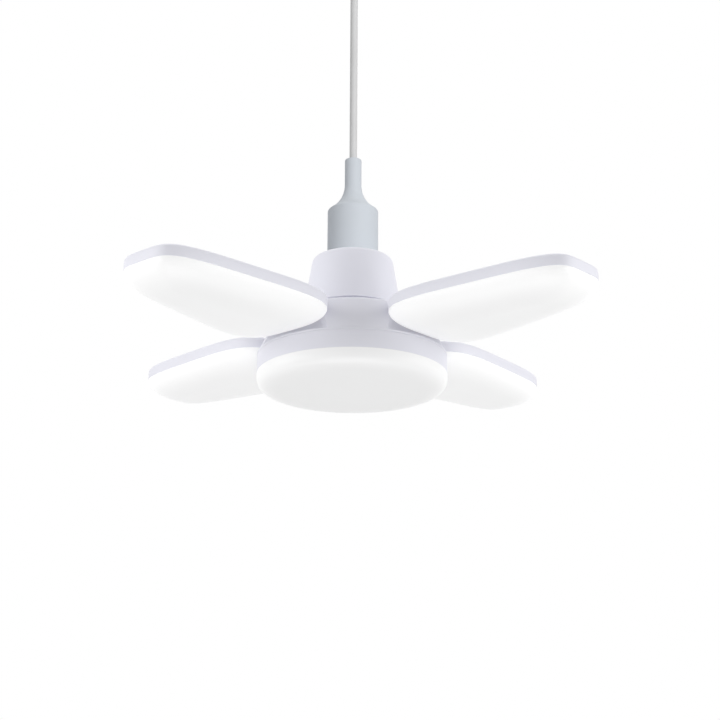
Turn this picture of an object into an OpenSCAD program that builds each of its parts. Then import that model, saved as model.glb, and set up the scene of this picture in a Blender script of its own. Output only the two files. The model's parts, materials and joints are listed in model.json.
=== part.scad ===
// Folding garage light: four hinged leaves round a centre disc, hanging in a bayonet lampholder
// from a ceiling rose. Millimetres, +Z up, origin at the centre of the rose's back face.

/* [Ceiling rose] */
// Outer radius of the rose cover
rose_r = 45; // [42:1:56]
// Depth of the rose cover below the ceiling
rose_h = 32; // [30:1:40]
// Distance between the two ceiling screw holes
screw_pitch = 50.8; // [46:0.1:54]
// Radius of each ceiling screw hole
screw_hole_r = 2.25; // [1.75:0.05:2.75]
// Radius of the hole for the house wires
wire_entry_r = 8; // [6:0.5:9]

/* [Cable] */
// Radius of the round cable
cable_r = 3.1; // [2.5:0.1:3.6]

/* [Lampholder] */
// Radius of the casing
holder_r = 20.5; // [19.5:0.5:25]
// Wall of the casing
holder_wall = 2; // [1.5:0.1:2.8]
// Height of the casing's cylinder, up to the shoulder
holder_body_h = 41.2; // [40:0.2:48]
// Height of the curved flare
flare_h = 21; // [18:0.5:26]
// How far the flare has turned outwards where it meets the shoulder, degrees
flare_bend = 52; // [45:1:60]
// Length of the straight neck
neck_h = 22; // [21:0.5:30]
// Radius of the straight neck
neck_r = 6.8; // [6.2:0.1:9]
// Turn from locked to free in the bayonet slots, degrees
bayonet_turn = 16; // [12:1:22]

/* [Bayonet cap] */
// Radius of the metal cap
cap_r = 11; // [10.8:0.05:11.1]
// Length of the metal cap
cap_h = 19.4; // [18:0.1:21]
// Distance over the ends of the two cap pins
pin_span = 27; // [26:0.1:28]
// Radius of a cap pin
cap_pin_r = 1.1; // [1:0.05:1.2]
// Distance from the axis to each contact
contact_x = 4.4; // [4:0.1:4.8]

/* [Hub] */
// Height of the hub's top above the disc rim
hub_top_z = 97.2; // [94:0.2:100]
// Radius of the hub cover at its top
hub_top_r = 32; // [30:0.5:36]
// Height of the hub cover's lower edge above the disc rim
hub_low_z = 53; // [50:0.5:58]
// Wall of the hub cover
cover_wall = 2; // [1.6:0.1:2.6]

/* [Centre disc] */
// Radius of the disc and of the drum behind it
disc_r = 75; // [70:0.5:90]
// Depth of the diffuser below the disc rim
disc_dome_h = 13; // [8:0.1:15]
// Radius of the diffuser's round edge, across
disc_edge = 4.5; // [4:0.5:12]
// Height of the drum, from the disc rim to the seam
base_h = 14.2; // [13:0.1:14.5]
// Wall of the drum
base_wall = 2.5; // [2:0.1:3]

/* [Leaves] */
// Length of a leaf's body
leaf_len = 158.8; // [130:0.2:192]
// Half the width of a leaf at mid length
leaf_half_w = 42.5; // [38:0.5:51]
// Squareness of a leaf's inner end: 2 is an ellipse
leaf_square_in = 3.6; // [3:0.1:7]
// Squareness of a leaf's tip
leaf_square_out = 4.7; // [3:0.1:7]
// How much a leaf narrows towards its tip
leaf_taper = 0.26; // [0:0.01:0.3]
// Height of a leaf's back casing
shell_h = 10; // [9.5:0.5:12]
// Depth of a leaf's diffuser below its casing
leaf_dome_h = 17.5; // [12:0.1:18.5]
// How far in from a leaf's sides and tip its diffuser's curve runs
leaf_edge = 32; // [20:0.5:33]
// The same at a leaf's inner end, where the diffuser rises to clear the drum
leaf_bow = 52; // [44:0.5:56]
// Wall of the leaf casing and diffuser
leaf_wall = 2; // [1.6:0.1:2.4]
// Tilt of the leaves above level, as they hang in use
leaf_tilt = 1.5; // [0:0.5:10]

/* [Hinges] */
// Height of the hinge pins above the disc rim
hinge_z = 38.5; // [38.5:0.5:42]
// Radius of a hinge pin
hinge_pin_r = 2; // [1.5:0.1:2.5]
// Radius of a hinge knuckle
knuckle_r = 5; // [4.5:0.1:6]
// Half the length of a hinge knuckle
knuckle_half = 21.8; // [18:0.1:23]
// Distance from the hinge pin to the leaf's body
tongue_l = 14.2; // [12.5:0.1:20]

/* [Hidden] */
$fn = 64;

// Clearances
eps = 0.05;
slip = 0.2;
run = 0.06;
cut = 1;

// The cable hangs straight: its centre line, from inside the rose to inside the lampholder's neck
cable_route = [for (z = [-12, -25, -40, -55, -70, -85, -100, -115, -130, -145, -160, -175, -190, -205, -229])
    [0, 0, z]];
cable_sides = 10;
wire_r = 0.8;
wire_sides = 6;

// Heights of the lamp and the lampholder are counted from the disc rim, this far below the ceiling
hang_h = 395;
holder_gap = 0.4;
holder_low_z = hub_top_z + holder_gap;
shoulder_z = holder_low_z + holder_body_h;
flare_bend_r = flare_h / sin(flare_bend);
flare_end_r = neck_r + flare_bend_r * (1 - cos(flare_bend));
flare_end_z = shoulder_z + (holder_r - flare_end_r) / tan(flare_bend);
flare_top_z = flare_end_z + flare_h;
neck_top_z = flare_top_z + neck_h;
shoulder_round = 1.6;

// Cap and contacts
collar_h = 6.2;
collar_r = 13.5;
cap_low_z = hub_top_z + collar_h;
cap_top_z = cap_low_z + cap_h;
cap_wall = 0.6;
cap_lip_r = cap_r - 1.6;
pin_z = cap_top_z - 7;
insulator_h = 4;
contact_r = 2.4;
contact_h = 1.4;
contact_top_z = cap_top_z + contact_h;

// Lampholder inside: barrel, contact carrier, ring
barrel_in_r = cap_r + 0.45;
barrel_wall = 0.9;
barrel_low_z = cap_low_z + 0.8;
barrel_top_z = contact_top_z + 6.2;
barrel_flange_t = 1.2;
core_flange_t = 4;
core_flange_top_z = barrel_top_z + core_flange_t;
core_top_r = 9.5;
cavity_r = holder_r - holder_wall;
plunger_r = 2.2;
plunger_h = 6.5;
plunger_travel = 2;
spring_top_z = contact_top_z + 15;
terminal_h = 5;
holder_wire_in = 0.4;
core_top_z = spring_top_z + terminal_h + slip;
grip_r = neck_r - 1.75;
grip_top_z = neck_top_z - 3;
grip_h = 16;
cable_end_z = cable_route[len(cable_route) - 1].z + hang_h;

// Leaf outline: a rounded rectangle that narrows towards the tip, x outwards from the hinge pin
leaf_steps = 32;
leaf_mid = tongue_l + leaf_len / 2;
function squareness(s) = s < 0 ? leaf_square_in : leaf_square_out;
function half_width(s) =
    leaf_half_w * pow(1 - pow(abs(s), squareness(s)), 1 / squareness(s)) * (1 - leaf_taper * s);
function leaf_point(i, side, inset, inner_inset) =
    let (
        turn = -cos(180 * i / leaf_steps),
        s = sign(turn) * pow(abs(turn), 2 / squareness(turn)),
        shrink = 1 - inset / leaf_half_w,
        end_inset = s < 0 ? inner_inset : inset
    )
    [leaf_mid + (leaf_len / 2 - end_inset) * s, side * shrink * half_width(s)];
// The outline drawn in by inset at the sides and the tip, and by inner_inset at the inner end
function leaf_ring(inset, inner_inset) = concat(
    [for (i = [0 : leaf_steps]) leaf_point(i, -1, inset, inner_inset)],
    [for (i = [leaf_steps - 1 : -1 : 1]) leaf_point(i, 1, inset, inner_inset)]
);
function leaf_outline(inset) = leaf_ring(inset, inset);
leaf_widest = max([for (i = [-50 : 50]) half_width(i / 50)]);

// Hinges: folded up, each leaf's back stands this far clear of its neighbours
fold_gap = 0.9;
hinge_r = leaf_widest + fold_gap;
side_gap = 0.4;
ear_in = knuckle_half + side_gap;
ear_t = 5.2;
ear_r = knuckle_r + 1;
pocket_half = ear_in + ear_t;
tongue_half = pocket_half - 0.6;
tongue_t = 8;
tongue_wide_x = ear_r + 1.2;
stop_gap = 0.2;
pocket_floor_z = hinge_z - tongue_t - stop_gap;
pin_blind_end = ear_in + 3.2;
pin_open_end = pocket_half - 0.3;
leaf_clear = 0.7;
leaf_plane = hinge_r + tongue_l - leaf_clear;
knuckle_clear = 0.7;

// Hub frame and drum
column_r = hinge_r - knuckle_r - 5.5;
hub_low_r = column_r + 1.8;
flange_t = 1.7;
flange_top_z = base_h + flange_t;
rim_wall_top_z = base_h + 1.5;
block_r = norm([leaf_plane, pocket_half]);
block_top_z = hinge_z + 1.5;
block_round = 2.4;
skirt_steps = 12;
round_steps = 4;
column_wall = 2.6;
bore_r = column_r - 5.5;
ledge_t = 3;
ledge_r = bore_r - 7;
hub_screw_r = bore_r - 2.8;
boss_r = 3;
cover_round = 4.5;
board_z = hub_low_z + 3;
board_t = 1.6;
partition_z = 5;
partition_t = 2.5;
base_screw_r = disc_r - 7;
disc_board_r = base_screw_r - 4;
lip_t = 2;
lip_h = 2.5;

// Screws: shank, its clearance hole, the hole it bites in, and its head
shank_r = 1.5;
shank_hole_r = 1.7;
pilot_r = shank_r + eps;
head_r = 2.6;
head_h = 2;
small_shank_r = 1.2;
small_hole_r = 1.4;
small_pilot_r = small_shank_r + eps;
small_head_r = 2.2;
small_head_h = 1.2;

// Leaf inside
leaf_board_t = 1.6;
leaf_boss_h = 4.4;
leaf_board_z = -leaf_wall - leaf_boss_h;
leaf_screw_x = 0.42 * leaf_len;
leaf_screw_y = leaf_half_w / 3;
led_size = 3.2;
led_h = 0.9;

leaf_white = [0.90, 0.89, 0.94];
milk_white = [0.97, 0.97, 0.97];
holder_grey = [0.76, 0.79, 0.81];

// ---- helpers ----

// Children are drawn with z = 0 at the disc rim
module at_rim() {
    translate([0, 0, -hang_h]) children();
}

// Children are drawn in the frame of leaf n: x outwards and z up from its hinge pin, y along the pin
module at_hinge(n) {
    at_rim()
        rotate([0, 0, 45 + 90 * (n - 1)])
            translate([hinge_r, 0, hinge_z])
                children();
}

// The same, turned with the leaf
module at_leaf(n) {
    at_hinge(n)
        rotate([0, -leaf_tilt, 0])
            children();
}

module four_ways(first = 0) {
    for (i = [0 : 3])
        rotate([0, 0, first + 90 * i])
            children();
}

// Shank up, head at the bottom
module screw(length, r, cap_radius, cap_height) {
    cylinder(r = r, h = length);
    translate([0, 0, -cap_height])
        cylinder(r = cap_radius, h = cap_height);
}

module tube(r, inner_r, h) {
    difference() {
        cylinder(r = r, h = h);
        translate([0, 0, -cut])
            cylinder(r = inner_r, h = h + 2 * cut);
    }
}

// A side-by-side stack of closed rings joined into one skin: the first and last are its end faces
module ring_skin(rings) {
    m = len(rings[0]);
    last = (len(rings) - 1) * m;
    sides = [for (k = [0 : len(rings) - 2]) for (j = [0 : m - 1])
        [k * m + j, k * m + (j + 1) % m, (k + 1) * m + (j + 1) % m, (k + 1) * m + j]];
    first_face = [for (j = [m - 1 : -1 : 0]) j];
    last_face = [for (j = [0 : m - 1]) last + j];
    polyhedron(points = [for (ring = rings) each ring], faces = concat([first_face], sides, [last_face]));
}

function unit(v) = v / norm(v);

// The ring of a swept wire at point i of its route, square to the way from the point before to the next
function wire_ring(route, i, r, sides) =
    let (
        along = unit(route[min(i + 1, len(route) - 1)] - route[max(i - 1, 0)]),
        across = unit(cross(along, [0, 1, 1])),
        other = cross(across, along)
    )
    [for (j = [0 : sides - 1]) route[i] + r * cos(360 * j / sides) * across + r * sin(360 * j / sides) * other];

// A round wire swept along a route
module swept_wire(route, r, sides) {
    ring_skin([for (i = [0 : len(route) - 1]) wire_ring(route, i, r, sides)]);
}

// A leaf-shaped skin through [inset, inner inset, z] steps
module leaf_skin(steps) {
    ring_skin([for (step = steps) [for (p = leaf_ring(step[0], step[1])) [p.x, p.y, step[2]]]]);
}

module leaf_prism(inset, low, high) {
    translate([0, 0, low])
        linear_extrude(high - low)
            polygon(leaf_outline(inset));
}

// A cylinder along y
module cross_bar(r, low, high) {
    translate([0, low, 0])
        rotate([-90, 0, 0])
            cylinder(r = r, h = high - low);
}

// Hinge n's pin or its bore: one end is blind, the other open to the side, so that no pin shows in front
module pin_bar(n, r, blind_end, open_end) {
    if (n % 2 == 1)
        cross_bar(r, -open_end, blind_end);
    else
        cross_bar(r, -blind_end, open_end);
}

// ---- ceiling rose ----

rose_wall = 2;
base_plate_t = 3;
lug_w = 8;
lug_h = 10;
clamp_top_z = -10;
clamp_low_z = -24;
clamp_half_w = 12;
clamp_depth = 8;
clamp_gap = 0.5;
clamp_screw_x = 8;
outlet_h = 5;
outlet_r = cable_r + 4;
cable_bore_r = cable_r + slip;
lug_out_r = rose_r - rose_wall - slip;
terminal_y = -27;
terminal_w = 28;
terminal_d = 10;
terminal_z = -base_plate_t;
terminal_deep = 10;
terminal_wire_z = 6.2;
terminal_screw_h = 5.2;
wire_entry_y = 23;

module rose_base() {
    color(milk_white)
        difference() {
            union() {
                translate([0, 0, -base_plate_t])
                    cylinder(r = lug_out_r, h = base_plate_t);
                // Cord clamp post, behind the cable
                translate([-clamp_half_w, -clamp_gap - clamp_depth, clamp_low_z])
                    cube([2 * clamp_half_w, clamp_depth, -clamp_low_z - base_plate_t + eps]);
                // Lugs for the cover screws, inside the cover's wall
                for (side = [-1, 1])
                    translate([side * (lug_out_r - lug_w / 2 - 1.2) - lug_w / 2, -lug_w / 2, -base_plate_t - lug_h])
                        cube([lug_w, lug_w, lug_h + eps]);
            }
            for (side = [-1, 1])
                translate([side * screw_pitch / 2, 0, -base_plate_t - cut])
                    cylinder(r = screw_hole_r, h = base_plate_t + 2 * cut);
            translate([0, wire_entry_y, -base_plate_t - cut])
                cylinder(r = wire_entry_r, h = base_plate_t + 2 * cut);
            translate([0, 0, clamp_low_z - cut])
                cylinder(r = cable_r + eps, h = clamp_top_z - clamp_low_z + 2 * cut);
            for (side = [-1, 1])
                translate([side * clamp_screw_x, -clamp_gap - clamp_depth - cut, (clamp_top_z + clamp_low_z) / 2])
                    rotate([-90, 0, 0])
                        cylinder(r = pilot_r, h = clamp_depth + 2 * cut);
            for (side = [-1, 1])
                translate([side * rose_r, 0, -base_plate_t - lug_h / 2])
                    rotate([0, -90 * side, 0])
                        cylinder(r = pilot_r, h = lug_w + 5);
        }
}

module rose_cover() {
    edge = 8;
    steps = 6;
    outer = [for (i = [0 : steps])
        [rose_r - edge + edge * cos(90 * i / steps), -rose_h + edge - edge * sin(90 * i / steps)]];
    inner = [for (i = [0 : steps])
        [rose_r - edge + (edge - rose_wall) * cos(90 * i / steps),
         -rose_h + edge - (edge - rose_wall) * sin(90 * i / steps)]];
    color(milk_white)
        difference() {
            union() {
                difference() {
                    rotate_extrude() polygon(concat([[0, 0], [rose_r, 0]], outer, [[0, -rose_h]]));
                    rotate_extrude()
                        polygon(concat([[0, cut], [rose_r - rose_wall, cut]], inner, [[0, -rose_h + rose_wall]]));
                }
                translate([0, 0, -rose_h - outlet_h])
                    cylinder(r = outlet_r, h = outlet_h + rose_wall);
            }
            translate([0, 0, -rose_h - outlet_h - cut])
                cylinder(r = cable_bore_r, h = outlet_h + rose_wall + 2 * cut);
            for (side = [-1, 1])
                translate([side * (rose_r + cut), 0, -base_plate_t - lug_h / 2])
                    rotate([0, -90 * side, 0])
                        cylinder(r = shank_hole_r, h = rose_wall + 2 * cut);
        }
}

module rose_terminal_block() {
    color(milk_white)
        translate([-terminal_w / 2, terminal_y - terminal_d / 2, terminal_z - terminal_deep])
            difference() {
                cube([terminal_w, terminal_d, terminal_deep]);
                for (i = [0 : 2])
                    translate([terminal_w * (i + 0.5) / 3, terminal_d / 2, 0]) {
                        // Wire tunnel along y, screw hole from below
                        translate([0, -terminal_d / 2 - cut, terminal_wire_z])
                            rotate([-90, 0, 0])
                                cylinder(r = 1.6, h = terminal_d + 2 * cut);
                        translate([0, 0, -cut])
                            cylinder(r = pilot_r, h = terminal_screw_h + cut);
                    }
            }
}

module rose_cord_clamp() {
    color(milk_white)
        difference() {
            translate([-clamp_half_w, clamp_gap, clamp_low_z])
                cube([2 * clamp_half_w, clamp_depth, clamp_top_z - clamp_low_z]);
            translate([0, 0, clamp_low_z - cut])
                cylinder(r = cable_r + eps, h = clamp_top_z - clamp_low_z + 2 * cut);
            for (side = [-1, 1])
                translate([side * clamp_screw_x, clamp_gap - cut, (clamp_top_z + clamp_low_z) / 2])
                    rotate([-90, 0, 0])
                        cylinder(r = shank_hole_r, h = clamp_depth + 2 * cut);
        }
}

module rose_screws() {
    color("silver") {
        for (side = [-1, 1])
            translate([side * clamp_screw_x, clamp_gap + clamp_depth, (clamp_top_z + clamp_low_z) / 2])
                rotate([90, 0, 0])
                    screw(clamp_depth + 6, shank_r, head_r, head_h);
        for (side = [-1, 1])
            translate([side * rose_r, 0, -base_plate_t - lug_h / 2])
                rotate([0, -90 * side, 0])
                    screw(lug_w + 2, shank_r, head_r, head_h);
        for (i = [0 : 2])
            translate([terminal_w * ((i + 0.5) / 3 - 0.5), terminal_y, terminal_z - terminal_deep])
                screw(terminal_screw_h, shank_r, head_r, head_h);
    }
}

// The two conductors, from the cable's end round the clamp post into the terminal block
module rose_wires() {
    wire_z = terminal_z - terminal_deep + terminal_wire_z;
    start_z = cable_route[0].z;
    side_x = clamp_half_w + 2;
    color([0.45, 0.30, 0.20])
        for (side = [-1, 1])
            swept_wire([
                [side * 1.3, 1.2, start_z],
                [side * 1.3, 1.2, wire_z - 2.5],
                [side * 2, 1.6, wire_z - 0.8],
                [side * 4, 2, wire_z],
                [side * (side_x - 2), 2, wire_z],
                [side * side_x, 0, wire_z],
                [side * side_x, -clamp_depth - 4, wire_z],
                [side * terminal_w / 3, terminal_y + terminal_d / 2 + 3, wire_z],
                [side * terminal_w / 3, terminal_y + 1, wire_z]
            ], wire_r, wire_sides);
}

// ---- cable ----

module cable() {
    color([0.66, 0.67, 0.68])
        swept_wire(cable_route, cable_r, cable_sides);
}

// ---- lampholder ----

// Outer casing: neck, flare, rounded shoulder and cylinder, bored in steps from below
module holder_sleeve() {
    flare_steps = 10;
    flare = [for (i = [0 : flare_steps]) let (bend = flare_bend * i / flare_steps)
        [neck_r + flare_bend_r * (1 - cos(bend)), flare_top_z - flare_bend_r * sin(bend)]];
    corner = [holder_r, shoulder_z];
    before = corner + shoulder_round * [-sin(flare_bend), cos(flare_bend)];
    after = corner - [0, shoulder_round];
    shoulder = [for (i = [0 : round_steps]) let (t = i / round_steps)
        (1 - t) * (1 - t) * before + 2 * t * (1 - t) * corner + t * t * after];
    color(holder_grey)
        at_rim()
            difference() {
                rotate_extrude()
                    polygon(concat(
                        [[0, neck_top_z], [neck_r - 1, neck_top_z], [neck_r, neck_top_z - 1]],
                        flare, shoulder,
                        [[holder_r, holder_low_z], [0, holder_low_z]]));
                translate([0, 0, holder_low_z - cut])
                    cylinder(r = cavity_r, h = core_flange_top_z + slip - holder_low_z + cut);
                translate([0, 0, holder_low_z])
                    cylinder(r = core_top_r + slip, h = core_top_z + slip - holder_low_z);
                translate([0, 0, holder_low_z])
                    cylinder(r = grip_r + eps, h = grip_top_z - holder_low_z);
                translate([0, 0, holder_low_z])
                    cylinder(r = cable_bore_r, h = neck_top_z - holder_low_z + cut);
            }
}

module cord_grip() {
    color("dimgray")
        at_rim()
            translate([0, 0, grip_top_z - grip_h])
                tube(grip_r, cable_r + eps, grip_h);
}

module at_contacts() {
    for (side = [-1, 1])
        translate([side * contact_x, 0, 0])
            children();
}

module holder_core() {
    color([0.93, 0.92, 0.88])
        at_rim()
            difference() {
                union() {
                    translate([0, 0, contact_top_z + 3])
                        cylinder(r = barrel_in_r - slip, h = barrel_top_z - contact_top_z - 3 + eps);
                    translate([0, 0, barrel_top_z])
                        cylinder(r = cavity_r - slip, h = core_flange_t);
                    translate([0, 0, barrel_top_z])
                        cylinder(r = core_top_r, h = core_top_z - barrel_top_z);
                }
                at_contacts() {
                    translate([0, 0, contact_top_z])
                        cylinder(r = plunger_r + run, h = spring_top_z - contact_top_z);
                    translate([-2.5, -3.2, spring_top_z - eps])
                        cube([5, 6.4, core_top_z - spring_top_z + cut]);
                }
                for (turn = [0, 180])
                    rotate([0, 0, turn])
                        translate([contact_x, 0, spring_top_z + 1.6])
                            rotate([0, 90, 0])
                                cylinder(r = small_hole_r, h = core_top_r);
            }
}

module holder_terminals() {
    color("goldenrod")
        at_rim()
            for (turn = [0, 180])
                rotate([0, 0, turn])
                    translate([contact_x, 0, spring_top_z])
                        difference() {
                            translate([-2.3, -3, 0])
                                cube([4.6, 6, terminal_h]);
                            translate([-holder_wire_in, 0, 2.6])
                                cylinder(r = wire_r + 0.15, h = terminal_h);
                        }
}

module holder_terminal_screws() {
    color("silver")
        at_rim()
            for (turn = [0, 180])
                rotate([0, 0, turn])
                    translate([contact_x + 2.3, 0, spring_top_z + 1.6])
                        rotate([0, 90, 0])
                            cylinder(r = small_shank_r, h = core_top_r - contact_x - 2.5);
}

module holder_wires() {
    top_z = cable_end_z;
    low_z = spring_top_z + 3;
    wire_x = contact_x - holder_wire_in;
    color([0.35, 0.45, 0.65])
        at_rim()
            for (side = [-1, 1])
                swept_wire([
                    [side * 1.3, 0, top_z],
                    [side * 1.5, 0, top_z - 3],
                    [side * 3, 0, top_z - 9],
                    [side * wire_x, 0, top_z - 13],
                    [side * wire_x, 0, low_z]
                ], wire_r, wire_sides);
}

// Metal sleeve with an L slot for each cap pin: up from its lower edge, then level
module holder_barrel() {
    slot_half = cap_pin_r + 0.5;
    slot_half_angle = asin(slot_half / barrel_in_r);
    leg_low_z = pin_z - slot_half;
    leg_high_z = pin_z + slot_half + plunger_travel;
    reach = barrel_in_r + barrel_wall + cut;
    leg_steps = 6;
    function leg_angle(i) = -bayonet_turn + i * (bayonet_turn + slot_half_angle) / leg_steps;
    color("lightsteelblue")
        at_rim()
            difference() {
                union() {
                    translate([0, 0, barrel_low_z])
                        tube(barrel_in_r + barrel_wall, barrel_in_r, barrel_top_z - barrel_low_z);
                    translate([0, 0, barrel_top_z - barrel_flange_t])
                        tube(cavity_r - slip, barrel_in_r, barrel_flange_t);
                }
                for (turn = [90, 270])
                    rotate([0, 0, turn]) {
                        translate([0, 0, leg_low_z])
                            linear_extrude(leg_high_z - leg_low_z)
                                polygon(concat([[0, 0]],
                                    [for (i = [0 : leg_steps]) reach * [cos(leg_angle(i)), sin(leg_angle(i))]]));
                        rotate([0, 0, -bayonet_turn])
                            translate([0, -slot_half, barrel_low_z - cut])
                                cube([reach, 2 * slot_half, leg_high_z - barrel_low_z + cut]);
                    }
            }
}

module holder_ring() {
    ring_h = 6;
    color([0.93, 0.92, 0.88])
        at_rim()
            translate([0, 0, barrel_top_z - barrel_flange_t - ring_h])
                tube(cavity_r - slip, cavity_r - 3, ring_h);
}

module plunger(side) {
    color("gold")
        at_rim()
            translate([side * contact_x, 0, contact_top_z + eps])
                cylinder(r = plunger_r, h = plunger_h);
}

module plunger_spring(side) {
    low_z = contact_top_z + eps + plunger_h;
    color("silver")
        at_rim()
            translate([side * contact_x, 0, low_z])
                tube(plunger_r - slip, plunger_r - 0.8, spring_top_z - low_z);
}

module plunger_a() {
    plunger(-1);
}

module plunger_b() {
    plunger(1);
}

module plunger_spring_a() {
    plunger_spring(-1);
}

module plunger_spring_b() {
    plunger_spring(1);
}

// ---- bayonet cap ----

module bayonet_cap() {
    color("lightsteelblue")
        at_rim()
            difference() {
                union() {
                    translate([0, 0, cap_low_z])
                        cylinder(r = cap_r, h = cap_h - 1);
                    translate([0, 0, cap_low_z + cap_h - 1])
                        cylinder(r1 = cap_r, r2 = cap_r - 1, h = 1);
                }
                translate([0, 0, cap_low_z - cut])
                    cylinder(r = cap_r - cap_wall, h = cap_h - 0.6 + cut);
                translate([0, 0, cap_low_z])
                    cylinder(r = cap_lip_r, h = cap_h + cut);
                for (turn = [90, 270])
                    rotate([0, 0, turn])
                        translate([0, 0, pin_z])
                            rotate([0, 90, 0])
                                cylinder(r = cap_pin_r, h = cap_r + cut);
            }
}

module cap_pins() {
    color("lightsteelblue")
        at_rim()
            for (turn = [90, 270])
                rotate([0, 0, turn])
                    translate([cap_r - cap_wall - 1, 0, pin_z])
                        rotate([0, 90, 0])
                            cylinder(r = cap_pin_r, h = pin_span / 2 - cap_r + cap_wall + 1);
}

module cap_insulator() {
    lip_z = cap_top_z - 0.6;
    color([0.12, 0.12, 0.13])
        at_rim()
            difference() {
                union() {
                    translate([0, 0, lip_z - insulator_h])
                        cylinder(r = cap_r - cap_wall - eps, h = insulator_h);
                    translate([0, 0, lip_z])
                        cylinder(r = cap_lip_r - eps, h = 0.6 + eps);
                }
                at_contacts()
                    translate([0, 0, lip_z - insulator_h - cut])
                        cylinder(r = wire_r + 0.3, h = insulator_h + 3 * cut);
            }
}

module cap_contacts() {
    color("silver")
        at_rim()
            at_contacts()
                translate([0, 0, cap_top_z + eps]) {
                    cylinder(r = contact_r, h = contact_h - 0.5 - eps);
                    translate([0, 0, contact_h - 0.5 - eps])
                        cylinder(r1 = contact_r, r2 = contact_r - 0.6, h = 0.5);
                }
}

module cap_collar() {
    spigot_r = cap_r - cap_wall - eps;
    color(leaf_white)
        at_rim()
            difference() {
                union() {
                    translate([0, 0, hub_top_z])
                        cylinder(r = collar_r, h = collar_h);
                    translate([0, 0, hub_top_z - cover_wall - 1])
                        cylinder(r = collar_r - 2.5, h = cover_wall + 1 + eps);
                    translate([0, 0, cap_low_z - eps])
                        cylinder(r = spigot_r, h = 6);
                }
                // Groove round the collar
                translate([0, 0, hub_top_z + 2.6])
                    tube(collar_r + cut, collar_r - 0.8, 1);
                translate([0, 0, hub_top_z - cover_wall - 2])
                    cylinder(r = spigot_r - 2, h = collar_h + 12);
            }
}

module cap_wires() {
    color([0.8, 0.2, 0.15])
        at_rim()
            at_contacts()
                translate([0, 0, board_z + board_t])
                    cylinder(r = wire_r, h = cap_top_z + eps - board_z - board_t);
}

// ---- hub ----

module hub_cover() {
    steps = 5;
    function top_edge(round, r, z) = [for (i = [0 : steps])
        [r - round + round * cos(90 * i / steps), z - round + round * sin(90 * i / steps)]];
    boss_h = 14;
    color(leaf_white)
        at_rim()
            difference() {
                union() {
                    difference() {
                        rotate_extrude()
                            polygon(concat([[0, hub_low_z], [hub_low_r, hub_low_z]],
                                top_edge(cover_round, hub_top_r, hub_top_z), [[0, hub_top_z]]));
                        rotate_extrude()
                            polygon(concat([[0, hub_low_z - cut], [hub_low_r - cover_wall, hub_low_z - cut]],
                                top_edge(cover_round - cover_wall, hub_top_r - cover_wall, hub_top_z - cover_wall),
                                [[0, hub_top_z - cover_wall]]));
                    }
                    // Screw bosses, ribbed to the wall
                    four_ways() {
                        translate([hub_screw_r, 0, hub_low_z])
                            cylinder(r = boss_r, h = boss_h);
                        translate([hub_screw_r + 1, -1, hub_low_z])
                            cube([hub_top_r - hub_screw_r + 2, 2, boss_h]);
                    }
                }
                four_ways()
                    translate([hub_screw_r, 0, hub_low_z - cut])
                        cylinder(r = pilot_r, h = boss_h - 1 + cut);
                translate([0, 0, hub_top_z - cover_wall - cut])
                    cylinder(r = collar_r - 2.5 + eps, h = cover_wall + 2 * cut);
            }
}

module hub_screws() {
    color("silver")
        at_rim()
            four_ways()
                translate([hub_screw_r, 0, hub_low_z - ledge_t])
                    screw(ledge_t + 11, shank_r, head_r, head_h);
}

module driver_board() {
    color("seagreen")
        at_rim()
            difference() {
                translate([0, 0, board_z])
                    cylinder(r = bore_r - 1.5, h = board_t);
                four_ways()
                    translate([hub_screw_r, 0, board_z - cut])
                        cylinder(r = boss_r + 1, h = board_t + 2 * cut);
            }
}

module driver_parts() {
    top = board_z + board_t;
    color("dimgray")
        at_rim()
            translate([0, 0, top]) {
                // Smoothing capacitor
                translate([10, 11, 0])
                    cylinder(r = 6, h = 20);
                // Transformer: core and winding
                translate([-19, -15, 0])
                    cube([16, 11, 13]);
                translate([-11, -9.5, 13])
                    cylinder(r = 4.5, h = 2);
                // Choke
                translate([9, -12, 0])
                    cylinder(r = 4.5, h = 9);
                // Film capacitor
                translate([-16, 7, 0])
                    cube([11, 5, 9]);
                // Bridge and switching chip
                translate([-12, 14, 0])
                    cube([6, 5, 2.4]);
                translate([14, -4, 0])
                    cube([5, 6, 1.6]);
            }
}

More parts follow.
